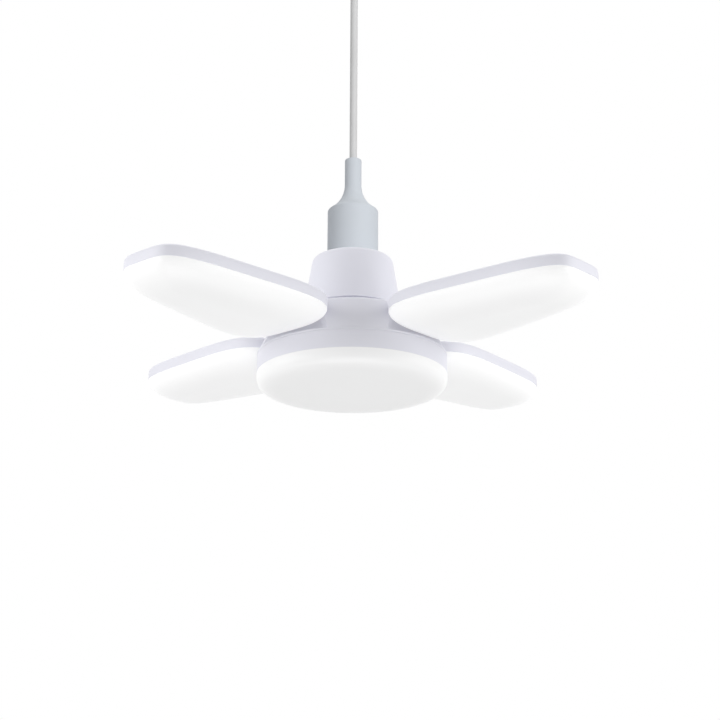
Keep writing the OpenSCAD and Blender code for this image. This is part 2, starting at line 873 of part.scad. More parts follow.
// Column, and round it four blocks that lean in from the drum and stand close to the leaves, with a pocket for
// a leaf's tongue between each two and a pair of ears for each pin
module hinge_frame() {
    function skirt_r(t) = block_r + (disc_r - block_r) * (1 - t) * (1 - t);
    function skirt_z(t) = rim_wall_top_z + (block_top_z - rim_wall_top_z) * t;
    skirt = [for (i = [0 : skirt_steps - 1]) [skirt_r(i / skirt_steps), skirt_z(i / skirt_steps)]];
    top_edge = [for (i = [0 : round_steps]) let (turn = 90 * i / round_steps)
        [block_r - block_round * (1 - cos(turn)), block_top_z + block_round * sin(turn)]];
    hollow_r = leaf_plane - 2.6;
    hollow_top_z = pocket_floor_z - 4;
    core_in = pocket_half + column_wall;
    color([0.74, 0.73, 0.80])
        at_rim() {
            difference() {
                union() {
                    difference() {
                        rotate_extrude()
                            polygon(concat(
                                [[0, base_h], [disc_r, base_h]], skirt, top_edge,
                                [[column_r, hub_low_z - 1], [column_r, hub_low_z], [0, hub_low_z]]));
                        four_ways(45) {
                            translate([hinge_r - knuckle_r - knuckle_clear, -pocket_half, pocket_floor_z])
                                cube([disc_r, 2 * pocket_half, hub_low_z]);
                            translate([hinge_r, 0, 0])
                                leaf_prism(-leaf_clear, flange_top_z, 2 * hub_low_z);
                        }
                    }
                    four_ways(45)
                        translate([hinge_r, 0, hinge_z])
                            hinge_ears();
                    four_ways(45)
                        translate([bore_r - 4, 0, hub_low_z - eps])
                            cylinder(r = 2.2, h = board_z - hub_low_z + eps);
                }
                translate([0, 0, base_h - cut])
                    cylinder(r = bore_r, h = hub_low_z - ledge_t - base_h + cut);
                translate([0, 0, base_h])
                    cylinder(r = ledge_r, h = hub_low_z);
                translate([0, 0, base_h - cut])
                    tube(hollow_r, bore_r + column_wall, hollow_top_z - base_h + cut);
                // The blocks are cored from below
                four_ways(45)
                    intersection() {
                        translate([core_in, core_in, base_h - cut])
                            cube([disc_r, disc_r, block_top_z - column_wall - base_h + cut]);
                        translate([0, 0, base_h - cut])
                            cylinder(r = block_r - column_wall, h = hub_low_z);
                    }
                for (n = [1 : 4])
                    rotate([0, 0, 45 + 90 * (n - 1)])
                        translate([hinge_r, 0, hinge_z])
                            pin_bar(n, hinge_pin_r, pin_blind_end, disc_r);
                four_ways() {
                    translate([hub_screw_r, 0, hub_low_z - ledge_t - cut])
                        cylinder(r = shank_hole_r, h = ledge_t + 2 * cut);
                    translate([base_screw_r, 0, base_h - cut])
                        cylinder(r = pilot_r, h = 8 + cut);
                }
            }
        }
}

module hinge_ears() {
    foot = hinge_z - pocket_floor_z + eps;
    for (side = [-1, 1])
        translate([0, side * (ear_in + ear_t / 2), 0])
            rotate([90, 0, 0])
                translate([0, 0, -ear_t / 2]) {
                    cylinder(r = ear_r, h = ear_t);
                    translate([-ear_r, -foot, 0])
                        cube([2 * ear_r, foot, ear_t]);
                }
}

module hinge_pin(n) {
    color("silver")
        at_hinge(n)
            pin_bar(n, hinge_pin_r, pin_blind_end - slip, pin_open_end);
}

// ---- centre disc ----

module base_shell() {
    color(leaf_white)
        at_rim()
            difference() {
                union() {
                    tube(disc_r, disc_r - base_wall, base_h);
                    translate([0, 0, partition_z])
                        cylinder(r = disc_r - base_wall + eps, h = partition_t);
                    four_ways()
                        translate([base_screw_r, 0, partition_z])
                            cylinder(r = boss_r + 1, h = base_h - partition_z);
                }
                translate([0, 0, partition_z - cut])
                    cylinder(r = 8, h = partition_t + 2 * cut);
                four_ways()
                    translate([base_screw_r, 0, partition_z - cut])
                        cylinder(r = shank_hole_r, h = base_h);
                three_ways()
                    translate([0, 0, partition_z - cut])
                        cylinder(r = pilot_r, h = partition_t + 2 * cut);
            }
}

module three_ways() {
    for (i = [0 : 2])
        rotate([0, 0, 30 + 120 * i])
            translate([disc_board_r * 0.73, 0, 0])
                children();
}

module base_screws() {
    color("silver")
        at_rim()
            four_ways()
                translate([base_screw_r, 0, partition_z])
                    screw(base_h - partition_z + 7, shank_r, head_r, head_h);
}

module center_board() {
    color([0.92, 0.93, 0.93])
        at_rim()
            difference() {
                translate([0, 0, partition_z - board_t])
                    cylinder(r = disc_board_r, h = board_t);
                translate([0, 0, partition_z - board_t - cut])
                    cylinder(r = 6, h = board_t + 2 * cut);
                three_ways()
                    translate([0, 0, partition_z - board_t - cut])
                        cylinder(r = shank_hole_r, h = board_t + 2 * cut);
            }
}

module center_leds() {
    rings = [[0.31, 8], [0.59, 14], [0.87, 20]];
    color([0.95, 0.85, 0.45])
        at_rim()
            for (ring = rings)
                for (i = [0 : ring[1] - 1])
                    rotate([0, 0, 360 * i / ring[1]])
                        translate([disc_board_r * ring[0], 0, partition_z - board_t - led_h / 2])
                            cube([led_size, led_size, led_h], center = true);
}

module board_screws() {
    color("silver")
        at_rim()
            three_ways()
                translate([0, 0, partition_z - board_t])
                    screw(board_t + partition_t - 0.5, shank_r, small_head_r, small_head_h);
}

// A milky cup with a round edge and a lip that snaps inside the drum
module center_diffuser() {
    steps = 7;
    wall = leaf_wall;
    lip_r = disc_r - base_wall - slip;
    outer = [for (i = [0 : steps])
        [disc_r - disc_edge * (1 - cos(90 * i / steps)), -disc_dome_h * sin(90 * i / steps)]];
    inner = [for (i = [steps : -1 : 0])
        [lip_r - lip_t - (disc_edge - base_wall) * (1 - cos(90 * i / steps)),
         -(disc_dome_h - wall) * sin(90 * i / steps)]];
    color(milk_white)
        at_rim()
            rotate_extrude()
                polygon(concat(outer, [[0, -disc_dome_h], [0, -disc_dome_h + wall]], inner,
                    [[lip_r - lip_t, lip_h], [lip_r, lip_h], [lip_r, 0]]));
}

// ---- leaves ----

module vent_slot(length, width) {
    square([length - width, width], center = true);
    for (side = [-1, 1])
        translate([side * (length - width) / 2, 0])
            circle(d = width, $fn = 16);
}

module vent_burst(count, mid_r, length, width) {
    for (i = [0 : count - 1])
        rotate([0, 0, 360 * (i + 0.5) / count])
            translate([mid_r, 0])
                vent_slot(length, width);
}

module vent_arcs(r, width, half_angle) {
    wedge = 3 * r;
    for (turn = [90, 270])
        rotate([0, 0, turn])
            intersection() {
                difference() {
                    circle(r = r + width / 2);
                    circle(r = r - width / 2);
                }
                polygon([[0, 0], [wedge * cos(half_angle), -wedge * sin(half_angle)],
                    [wedge * cos(half_angle), wedge * sin(half_angle)]]);
            }
}

module leaf_vents() {
    burst_x = 0.245 * leaf_len;
    translate([leaf_mid, 0, -leaf_wall - cut])
        linear_extrude(leaf_wall + 2 * cut) {
            for (side = [-1, 1])
                translate([side * burst_x, 0])
                    vent_burst(10, 12, 10, 2.8);
            vent_arcs(13, 2.8, 55);
        }
}

module at_leaf_screws() {
    for (x = [-1, 1])
        for (y = [-1, 1])
            translate([leaf_mid + x * leaf_screw_x, y * leaf_screw_y, 0])
                children();
}

// Back casing: a tray with vents, and a tongue that ends in the hinge knuckle
module leaf_shell(n) {
    color(leaf_white)
        at_leaf(n)
            difference() {
                union() {
                    difference() {
                        union() {
                            leaf_prism(0, -shell_h, 0);
                            leaf_tongue();
                        }
                        leaf_prism(leaf_wall, -shell_h - cut, -leaf_wall);
                        leaf_vents();
                    }
                    at_leaf_screws()
                        translate([0, 0, leaf_board_z])
                            cylinder(r = boss_r, h = leaf_boss_h + eps);
                }
                at_leaf_screws()
                    translate([0, 0, leaf_board_z - cut])
                        cylinder(r = small_pilot_r, h = leaf_boss_h - 0.4 + cut);
                cross_bar(hinge_pin_r + run, -knuckle_half - cut, knuckle_half + cut);
            }
}

module leaf_tongue() {
    root_x = tongue_l + leaf_wall - eps;
    neck_x = 3;
    translate([0, 0, -tongue_t])
        linear_extrude(tongue_t)
            polygon([
                [neck_x, -knuckle_half], [tongue_wide_x, -knuckle_half],
                [tongue_wide_x + 2, -tongue_half], [root_x, -tongue_half],
                [root_x, tongue_half], [tongue_wide_x + 2, tongue_half],
                [tongue_wide_x, knuckle_half], [neck_x, knuckle_half]
            ]);
    cross_bar(knuckle_r, -knuckle_half, knuckle_half);
}

module leaf_board(n) {
    inset = leaf_wall + lip_t + 1;
    color([0.92, 0.93, 0.93])
        at_leaf(n)
            difference() {
                leaf_prism(inset, leaf_board_z - leaf_board_t, leaf_board_z);
                at_leaf_screws()
                    translate([0, 0, leaf_board_z - leaf_board_t - cut])
                        cylinder(r = small_hole_r, h = leaf_board_t + 2 * cut);
            }
}

module leaf_leds(n) {
    columns = 9;
    pitch_x = 0.095 * leaf_len;
    pitch_y = 0.43 * leaf_half_w;
    color([0.95, 0.85, 0.45])
        at_leaf(n)
            for (i = [0 : columns - 1])
                for (j = [-1 : 1])
                    translate([
                        leaf_mid + (i - (columns - 1) / 2) * pitch_x,
                        j * pitch_y,
                        leaf_board_z - leaf_board_t - led_h / 2
                    ])
                        cube([led_size, led_size, led_h], center = true);
}

module leaf_screws(n) {
    color("silver")
        at_leaf(n)
            at_leaf_screws()
                translate([0, 0, leaf_board_z - leaf_board_t])
                    screw(leaf_board_t + leaf_boss_h - 1, small_shank_r, small_head_r, small_head_h);
}

// A milky bowl, shaped like a pebble, with a lip that snaps inside the casing
module leaf_diffuser(n) {
    steps = 8;
    lip_out = leaf_wall + slip;
    lip_in = lip_out + lip_t;
    // A step of the bowl's curve, turned from its edge down to level: [inset, inner inset, z]
    function bowl(turn, start, wall) = [
        start + (leaf_edge - wall) * (1 - cos(turn)),
        start + (leaf_bow - wall) * (1 - cos(turn)),
        -shell_h - (leaf_dome_h - wall) * sin(turn)
    ];
    inner = [for (i = [steps : -1 : 0]) bowl(90 * i / steps, lip_in, leaf_wall)];
    lip = [
        [lip_in, lip_in, -shell_h + lip_h],
        [lip_out, lip_out, -shell_h + lip_h],
        [lip_out, lip_out, -shell_h]
    ];
    outer = [for (i = [0 : steps]) bowl(90 * i / steps, 0, 0)];
    color(milk_white)
        at_leaf(n)
            leaf_skin(concat(inner, lip, outer));
}

rose_base();
rose_cover();
rose_terminal_block();
rose_cord_clamp();
rose_screws();
rose_wires();
cable();
holder_sleeve();
cord_grip();
holder_core();
holder_terminals();
holder_terminal_screws();
holder_wires();
holder_barrel();
holder_ring();
plunger_a();
plunger_b();
plunger_spring_a();
plunger_spring_b();
bayonet_cap();
cap_pins();
cap_insulator();
cap_contacts();
cap_collar();
cap_wires();
hub_cover();
driver_board();
driver_parts();
hub_screws();
hinge_frame();
base_shell();
base_screws();
center_board();
center_leds();
board_screws();
center_diffuser();
leaf_shell(1);  // leaf_shell_1
leaf_shell(2);  // leaf_shell_2
leaf_shell(3);  // leaf_shell_3
leaf_shell(4);  // leaf_shell_4
leaf_board(1);  // leaf_board_1
leaf_board(2);  // leaf_board_2
leaf_board(3);  // leaf_board_3
leaf_board(4);  // leaf_board_4
leaf_leds(1);  // leaf_leds_1
leaf_leds(2);  // leaf_leds_2
leaf_leds(3);  // leaf_leds_3
leaf_leds(4);  // leaf_leds_4
leaf_screws(1);  // leaf_screws_1
leaf_screws(2);  // leaf_screws_2
leaf_screws(3);  // leaf_screws_3
leaf_screws(4);  // leaf_screws_4
leaf_diffuser(1);  // leaf_diffuser_1
leaf_diffuser(2);  // leaf_diffuser_2
leaf_diffuser(3);  // leaf_diffuser_3
leaf_diffuser(4);  // leaf_diffuser_4
hinge_pin(1);  // hinge_pin_1
hinge_pin(2);  // hinge_pin_2
hinge_pin(3);  // hinge_pin_3
hinge_pin(4);  // hinge_pin_4
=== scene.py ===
"""Folding garage light: its visual model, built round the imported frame.

Lengths are metres. +Z is up, and the origin is the centre of the ceiling rose's back face, as in the
frame.
"""

import json
import math

import bmesh
import bpy
from bpy.props import FloatProperty, FloatVectorProperty, IntProperty, PointerProperty
from mathutils import Matrix, Quaternion, Vector


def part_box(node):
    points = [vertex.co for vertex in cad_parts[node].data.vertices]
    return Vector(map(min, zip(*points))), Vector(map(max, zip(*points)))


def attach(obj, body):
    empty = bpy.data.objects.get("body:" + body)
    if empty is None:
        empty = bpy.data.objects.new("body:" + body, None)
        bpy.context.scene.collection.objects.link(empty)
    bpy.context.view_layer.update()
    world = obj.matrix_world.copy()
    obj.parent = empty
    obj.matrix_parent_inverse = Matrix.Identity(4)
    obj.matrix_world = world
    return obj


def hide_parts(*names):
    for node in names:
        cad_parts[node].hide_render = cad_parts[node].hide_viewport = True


bl_info = {
    "name": "Folding Garage Light",
    "version": (1, 0, 0),
    "blender": (4, 5, 0),
    "location": "View3D > Sidebar > Garage Light",
    "description": "Builds a four-leaf folding light in a pendant lampholder, round its packed frame",
    "category": "Add Mesh",
}

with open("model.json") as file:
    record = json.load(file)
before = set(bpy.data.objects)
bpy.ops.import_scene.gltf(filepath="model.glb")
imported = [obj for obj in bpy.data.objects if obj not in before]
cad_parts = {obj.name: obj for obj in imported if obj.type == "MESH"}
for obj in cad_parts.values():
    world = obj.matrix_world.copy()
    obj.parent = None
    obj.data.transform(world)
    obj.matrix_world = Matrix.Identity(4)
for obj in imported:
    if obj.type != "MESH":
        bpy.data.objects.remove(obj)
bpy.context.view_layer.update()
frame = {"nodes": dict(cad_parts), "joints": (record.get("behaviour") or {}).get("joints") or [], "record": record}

LEAVES = (1, 2, 3, 4)
MM = 0.001

# Points closer than this become one
MERGE = 2e-6

# How finely curves are drawn
LATHE_STEPS = 144
OUTLINE_STEPS = 176
QUARTER_STEPS = 18
FLARE_STEPS = 14
EDGE_STEPS = 6
SLOT_STEPS = 10
BEVEL_STEPS = 2

# Shading breaks at edges sharper than the first, bevels go on those sharper than the second, and faces
# that meet at less than the third are one
SMOOTH_ANGLE = math.radians(32)
SHARP_ANGLE = math.radians(40)
FLAT_ANGLE = math.radians(0.5)

# The cable's inner points, in millimetres. It stands straight, so they only cut it into lengths
CABLE_RINGS = range(-205, -24, 15)

# Cutters of this size stand out past what they cut, on both sides
VENT_CUTTER_HEIGHT = 10 * MM
SCREW_CUTTER_REACH = 60 * MM

# Width of the camera's frame
SENSOR_MM = 36

# The number painted on a diffuser's mesh: how brightly it is lit from inside, with a painted highlight added
# towards its edge
GLOW_AND_RIM_HIGHLIGHT = "glow"

# Ends a finish's name, because the frame brings plain materials named like the slots
FINISH = "_finish"

# The collection of the pieces that have a lamp of their own
OWN_LAMP = "lampholder_and_cable"

# Heights in the lamp are counted from the lower edge of the drum
RIM_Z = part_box("base_shell")[0].z
HOLDER_LOW, HOLDER_HIGH = (corner.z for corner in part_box("holder_sleeve"))
HUB_LOW, HUB_HIGH = (corner.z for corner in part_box("hub_cover"))


# ---- settings ----


def number_setting(name, description, value, **limits):
    return FloatProperty(name=name, description=description, default=value, **limits)


def length_setting(name, description, millimetres):
    return number_setting(name, description, millimetres * MM, unit="LENGTH")


def angle_setting(name, description, degrees):
    return number_setting(name, description, math.radians(degrees), subtype="ANGLE")


def colour_setting(name, description, value):
    return FloatVectorProperty(
        name=name, description=description, default=value, subtype="COLOR", min=0, max=1
    )


class LeafSettings(bpy.types.PropertyGroup):
    square_in: number_setting(
        "Inner Squareness", "How square the leaf's inner end is; 2 is an ellipse", 3.6, min=2
    )
    square_out: number_setting(
        "Tip Squareness", "How square the leaf's tip is; 2 is an ellipse", 4.7, min=2
    )
    taper: number_setting("Taper", "How much the leaf narrows towards its tip", 0.26)
    wall: length_setting("Wall", "Wall of the casing", 2)
    rim_round: length_setting("Rim Round", "Radius of the casing's back edge", 4)
    seam_round: length_setting("Seam Round", "Radius of the edges that meet at the seam", 0.35)
    bevel: length_setting("Bevel", "Bevel on the casing's other edges", 0.3)
    diffuser_edge: length_setting(
        "Diffuser Edge", "How far in from the sides and tip the diffuser's curve runs", 32
    )
    diffuser_bow: length_setting("Diffuser Bow", "How far in the curve runs at the leaf's inner end", 52)
    diffuser_square: number_setting(
        "Diffuser Squareness", "How square the curve is; 2 is an ellipse", 2, min=2
    )
    tongue_half: length_setting("Tongue Half Width", "Half the tongue's width at its root", 26.8)
    tongue_thick: length_setting("Tongue Thickness", "Thickness of the tongue", 8)
    tongue_start: length_setting("Tongue Start", "From the pin to the tongue's end in the knuckle", 3)
    tongue_clear: length_setting(
        "Tongue Clearance", "From the knuckle to where the tongue widens, past the hub's ears", 2.2
    )
    tongue_slope: length_setting("Tongue Slope", "Length over which the tongue widens", 2)
    knuckle_half: length_setting("Knuckle Half Length", "Half the hinge knuckle's length", 21.8)
    knuckle_radius: length_setting("Knuckle Radius", "Radius of the hinge knuckle", 5)
    pin_bore: length_setting("Pin Bore", "Radius of the hinge pin's hole", 2.06)
    slot_width: length_setting("Vent Width", "Width of each vent slot", 2.8)
    slot_length: length_setting("Vent Length", "Length of each straight vent slot", 10)
    slot_count: IntProperty(
        name="Vents in a Burst", description="Straight slots round each burst", default=10, min=3
    )
    burst_radius: length_setting("Burst Radius", "From a burst's centre to its slots' middles", 12)
    burst_place: number_setting(
        "Burst Place", "From the leaf's middle to a burst's centre, over half the leaf's length", 0.49
    )
    arc_radius: length_setting("Arc Radius", "Radius of the two curved slots", 13)
    arc_turn: angle_setting("Arc Turn", "How far round a curved slot runs", 110)


class LampholderSettings(bpy.types.PropertyGroup):
    neck_radius: length_setting("Neck Radius", "Radius of the neck", 6.8)
    neck_round: length_setting("Neck Round", "Radius of the neck's top edge", 0.9)
    flare_height: length_setting("Flare Height", "Height of the curved flare", 21)
    flare_turn: angle_setting("Flare Turn", "How far the flare has turned at its lower end", 52)
    body_height: length_setting("Body Height", "Height of the cylinder up to the shoulder", 41.2)
    shoulder_round: length_setting("Shoulder Round", "Radius of the shoulder's edge", 1.8)
    mouth_round: length_setting("Mouth Round", "Radius of the mouth's edges", 0.5)
    wall: length_setting("Wall", "Wall of the casing", 2)
    core_bore: length_setting("Core Bore", "Radius of the hole for the core's upper part", 9.7)
    core_height: length_setting("Core Height", "How far down that hole goes from the core's top", 9.8)
    core_gap: length_setting("Core Gap", "Gap over the core's top", 0.2)
    grip_bore: length_setting("Grip Bore", "Radius of the hole for the cord grip", 5.1)
    grip_depth: length_setting("Grip Depth", "From the neck's top to the cord grip", 3)


class HubSettings(bpy.types.PropertyGroup):
    top_radius: length_setting("Top Radius", "Radius of the hub cover at its top", 32)
    top_round: length_setting("Top Round", "Radius of the hub cover's top edge", 4.5)
    wall: length_setting("Wall", "Wall of the hub cover", 2)
    collar_bore: length_setting("Collar Bore", "Radius of the hole for the cap's collar", 11.05)
    disc_edge: length_setting("Disc Edge", "Width of the centre diffuser's rounding", 22)
    disc_square: number_setting(
        "Disc Squareness", "How square that rounding is; 2 is an ellipse", 3.6, min=2
    )
    drum_wall: length_setting("Drum Wall", "Wall of the drum", 2.5)
    plate_height: length_setting("Plate Height", "From the drum's rim to the plate across it", 5)
    plate_thick: length_setting("Plate Thickness", "Thickness of the plate across the drum", 2.5)
    plate_bore: length_setting("Plate Bore", "Radius of the hole in the plate across the drum", 8)
    small_bevel: length_setting("Small Bevel", "Bevel on moulded edges", 0.4)
    pin_bevel: length_setting("Pin Bevel", "Bevel on the hinge pins' ends", 0.3)


class DiffuserSettings(bpy.types.PropertyGroup):
    skin: length_setting("Skin", "Wall of a diffuser", 2)
    lip_gap: length_setting("Lip Gap", "Gap between a diffuser's lip and its casing", 0.2)
    lip_height: length_setting("Lip Height", "How far the lip goes into the casing", 2.5)
    leaf_glow: number_setting("Leaf Glow", "How brightly the leaves are lit from inside", 0.27, min=0)
    disc_glow: number_setting("Disc Glow", "How brightly the disc is lit from inside", 0.20, min=0)
    # The addition at the rim is partly the lamp's own light and partly a painted highlight for the side light on
    # the diffuser's rounded edge
    rim_glow_and_highlight: number_setting(
        "Rim Glow", "How much is added to a diffuser's light at its edge", 0.10, min=0
    )
    rim_glow_and_highlight_reach: length_setting("Glow Edge", "How far in from its edge that addition reaches", 20)


class PendantSettings(bpy.types.PropertyGroup):
    cable_radius: length_setting("Cable Radius", "Radius of the cable", 3.1)
    cable_low: length_setting("Cable Low End", "Height of the cable's end in the neck", -229)
    cable_high: length_setting("Cable High End", "Height of the cable's end in the rose", -12)
    cable_gap: length_setting("Cable Gap", "Gap round the cable in a hole", 0.2)
    rose_edge: length_setting("Rose Edge", "Radius of the rose cover's round edge", 8)
    rose_wall: length_setting("Rose Wall", "Wall of the rose cover", 2)
    outlet_height: length_setting("Outlet Height", "Height of the collar round the cable", 5)
    outlet_reach: length_setting("Outlet Reach", "From the cable to that collar's outside", 4)
    base_bevel: length_setting("Base Bevel", "Bevel on the rose's back plate", 0.3)
    screw_z: length_setting("Screw Height", "Height of the two cover screws", -8)
    screw_bore: length_setting("Screw Bore", "Radius of the cover screws' holes", 1.7)
    screw_bevel: length_setting("Screw Bevel", "Bevel on the screws' heads", 0.35)
    recess_length: length_setting("Recess Length", "Length of each slot of a cross recess", 3.2)
    recess_width: length_setting("Recess Width", "Width of each slot of a cross recess", 0.7)
    recess_depth: length_setting("Recess Depth", "Twice the depth of a cross recess", 1.8)


class ColourSettings(bpy.types.PropertyGroup):
    lamp_white: colour_setting("Lamp White", "Lavender white of the casings", (0.785, 0.785, 0.850))
    diffuser: colour_setting("Diffuser", "Milky white of the diffusers", (0.62, 0.62, 0.62))
    holder_grey: colour_setting(
        "Lampholder Grey", "Pale blue grey of the lampholder", (0.66, 0.70, 0.745)
    )
    cable_grey: colour_setting("Cable Grey", "Grey of the cable's sheath", (0.70, 0.70, 0.70))
    rose_white: colour_setting("Rose White", "White of the ceiling rose", (0.76, 0.77, 0.78))
    steel: colour_setting("Steel", "Screws, pins and springs", (0.56, 0.57, 0.59))
    brass: colour_setting("Brass", "Terminals and plungers", (0.70, 0.52, 0.25))
    floor: colour_setting("Floor", "Paint of the floor", (0.86, 0.86, 0.86))


class StageSettings(bpy.types.PropertyGroup):
    azimuth: angle_setting("Azimuth", "The camera's turn round the lamp", -3.05)
    elevation: angle_setting("Elevation", "The camera's height, as an angle", -16.72)
    roll: angle_setting("Roll", "The camera's turn about its own line of sight", 0.33)
    distance: length_setting("Distance", "From the camera to the middle of the drum's rim", 1279.5)
    focal: number_setting("Focal Length", "In millimetres on a 36 mm frame", 81.2)
    shift_x: number_setting("Shift X", "Sideways shift of the frame", 0.0111)
    shift_y: number_setting("Shift Y", "Vertical shift of the frame", 0.0218)
    ambient: number_setting("Ambient", "Strength of the white surroundings' light", 0.50)
    aim_height: length_setting("Aim Height", "How high over the drum's rim the lamps point", 30)
    side_power: number_setting("Side Power", "Each side lamp, in watts", 10.0)
    key_power: number_setting("Key Power", "The lampholder's and cable's own lamp, in watts", 8.6)
    under_power: number_setting("Under Power", "The lamp below, in watts", 8.6)
    top_power: number_setting("Top Power", "The lamp above, in watts", 8.4)
    floor_z: length_setting("Floor Height", "Height of the floor", -2200)
    floor_half: length_setting("Floor Half Width", "From the floor's middle to its sides", 8000)
    floor_glow: number_setting(
        "Floor Glow", "Added to the floor where the camera sees it, so that it looks white", 0.48, min=0
    )


class GarageLightSettings(bpy.types.PropertyGroup):
    leaf: PointerProperty(type=LeafSettings)
    lampholder: PointerProperty(type=LampholderSettings)
    hub: PointerProperty(type=HubSettings)
    diffuser: PointerProperty(type=DiffuserSettings)
    pendant: PointerProperty(type=PendantSettings)
    colours: PointerProperty(type=ColourSettings)
    stage: PointerProperty(type=StageSettings)


def settings():
    return bpy.context.scene.garage_light


# ---- material tools ----


class Finish:
    """A material under construction: its nodes, and shorthands that add and join them."""

    def __init__(self, name):
        self.material = bpy.data.materials.new(name + FINISH)
        self.material.use_nodes = True
        self.tree = self.material.node_tree
        self.shader = self.tree.nodes["Principled BSDF"]
        self.place = self.tree.nodes.new("ShaderNodeTexCoord").outputs["Object"]

    def set(self, **values):
        """Sets sockets of the shader by name, with underscores for spaces."""
        for name, value in values.items():
            socket = self.shader.inputs[name.replace("_", " ")]
            is_colour = hasattr(value, "__len__") and len(value) == 3
            socket.default_value = (*value, 1) if is_colour else value
        return self

    def join(self, source, target):
        self.tree.links.new(source, target)

    def noise(self, scale, detail=2.0, stretch=(1, 1, 1)):
        """Noise on the piece's own coordinates, from 0 to 1, with features about 1/scale metres wide."""
        mapping = self.tree.nodes.new("ShaderNodeMapping")
        mapping.inputs["Scale"].default_value = stretch
        self.join(self.place, mapping.inputs["Vector"])
        noise = self.tree.nodes.new("ShaderNodeTexNoise")
        noise.inputs["Scale"].default_value = scale
        noise.inputs["Detail"].default_value = detail
        self.join(mapping.outputs["Vector"], noise.inputs["Vector"])
        return noise.outputs["Fac"]

    def span(self, source, low, high):
        """Maps 0..1 to low..high."""
        node = self.tree.nodes.new("ShaderNodeMapRange")
        node.inputs["To Min"].default_value = low
        node.inputs["To Max"].default_value = high
        self.join(source, node.inputs["Value"])
        return node.outputs["Result"]

    def maths(self, operation, *values):
        """A Math node on numbers and sockets."""
        node = self.tree.nodes.new("ShaderNodeMath")
        node.operation = operation
        for socket, value in zip(node.inputs, values):
            if isinstance(value, (int, float)):
                socket.default_value = value
            else:
                self.join(value, socket)
        return node.outputs["Value"]

    def tint(self, fac, dark, light):
        """The shader's colour runs from dark to light with fac."""
        mix = self.tree.nodes.new("ShaderNodeMix")
        mix.data_type = "RGBA"
        mix.inputs["A"].default_value = (*dark, 1)
        mix.inputs["B"].default_value = (*light, 1)
        self.join(fac, mix.inputs["Factor"])
        self.join(mix.outputs["Result"], self.shader.inputs["Base Color"])

    def rough(self, fac, low, high):
        self.join(self.span(fac, low, high), self.shader.inputs["Roughness"])

    def painted(self, name):
        """A number painted on the mesh."""
        node = self.tree.nodes.new("ShaderNodeAttribute")
        node.attribute_name = name
        return node.outputs["Fac"]

    def bump(self, height, strength, depth):
        node = self.tree.nodes.new("ShaderNodeBump")
        node.inputs["Strength"].default_value = strength
        node.inputs["Distance"].default_value = depth
        self.join(height, node.inputs["Height"])
        self.join(node.outputs["Normal"], self.shader.inputs["Normal"])


def shade(colour, factor):
    return tuple(min(1, channel * factor) for channel in colour)


def moulded_plastic(name, colour, roughness=0.46, grain=1400, gloss=0.35):
    """Satin moulded plastic: a fine spark-eroded grain, and slow drifts of tone and gloss."""
    finish = Finish(name).set(Specular_IOR_Level=gloss)
    drift = finish.noise(22, 3)
    grit = finish.noise(grain, 2)
    finish.tint(drift, shade(colour, 0.975), shade(colour, 1.02))
    finish.rough(finish.noise(90, 4), roughness - 0.05, roughness + 0.07)
    finish.bump(grit, 0.10, 0.05 * MM)
    return finish.material


def glossy_plastic(name, colour, roughness=0.22):
    """Wire insulation, circuit boards and vitrified mouldings: smooth, with small dents."""
    finish = Finish(name)
    finish.tint(finish.noise(160, 3), shade(colour, 0.9), shade(colour, 1.08))
    finish.rough(finish.noise(240, 2), roughness, roughness + 0.12)
    finish.bump(finish.noise(420, 2), 0.12, 0.06 * MM)
    return finish.material


def milky_diffuser(name, colour):
    """Milky polycarbonate with a faint cloudiness, lit from inside by the glow painted on its mesh; towards the
    edge that glow also holds a painted highlight.
    """
    finish = Finish(name)
    cloud = finish.noise(14, 2)
    finish.tint(cloud, shade(colour, 0.99), shade(colour, 1.01))
    finish.set(Emission_Color=(1.0, 1.0, 1.0))
    # The emission is the lamp's own light plus the painted highlight towards the edge
    light = finish.maths("MULTIPLY", finish.painted(GLOW_AND_RIM_HIGHLIGHT), finish.span(cloud, 0.97, 1.03))
    finish.join(light, finish.shader.inputs["Emission Strength"])
    finish.rough(finish.noise(300, 3), 0.36, 0.44)
    finish.bump(finish.noise(2200, 2), 0.05, 0.03 * MM)
    return finish.material


def worn_metal(name, colour, roughness=0.3, stretch=(1, 1, 1)):
    """Turned, drawn or plated metal: fine tool lines, and stains that dull it."""
    finish = Finish(name)
    lines = finish.noise(900, 3, stretch)
    stains = finish.noise(120, 4)
    wear = finish.maths("MULTIPLY", finish.maths("ADD", lines, stains), 0.5)
    finish.set(Metallic=1.0)
    finish.tint(stains, shade(colour, 0.82), shade(colour, 1.08))
    finish.rough(wear, roughness - 0.08, roughness + 0.18)
    finish.bump(lines, 0.15, 0.04 * MM)
    return finish.material


def rubber(name, colour):
    """Dull rubber with a coarse grain."""
    finish = Finish(name)
    finish.tint(finish.noise(200, 3), shade(colour, 0.8), shade(colour, 1.15))
    finish.rough(finish.noise(500, 2), 0.62, 0.8)
    finish.bump(finish.noise(1200, 3), 0.3, 0.08 * MM)
    return finish.material


def cable_sheath(name, colour):
    """Round flex: satin sheath that shows the slow twist of the cores inside, and dull handling marks."""
    lay = 38 * MM
    finish = Finish(name).set(Specular_IOR_Level=0.2)
    parts = finish.tree.nodes.new("ShaderNodeSeparateXYZ")
    finish.join(finish.place, parts.inputs["Vector"])
    angle = finish.maths("ARCTAN2", parts.outputs["Y"], parts.outputs["X"])
    turn = finish.maths("MULTIPLY", parts.outputs["Z"], 2 * math.pi / lay)
    two_cores = finish.maths("MULTIPLY", finish.maths("ADD", turn, angle), 2)
    twist = finish.maths("MULTIPLY", finish.maths("SINE", two_cores), 0.5)
    fine = finish.maths("MULTIPLY", finish.noise(900, 3, (1, 1, 0.15)), 0.5)
    finish.tint(finish.noise(70, 3, (1, 1, 0.3)), shade(colour, 0.9), shade(colour, 1.08))
    finish.rough(finish.noise(260, 3, (1, 1, 0.3)), 0.36, 0.5)
    finish.bump(finish.maths("ADD", twist, fine), 0.35, 0.12 * MM)
    return finish.material


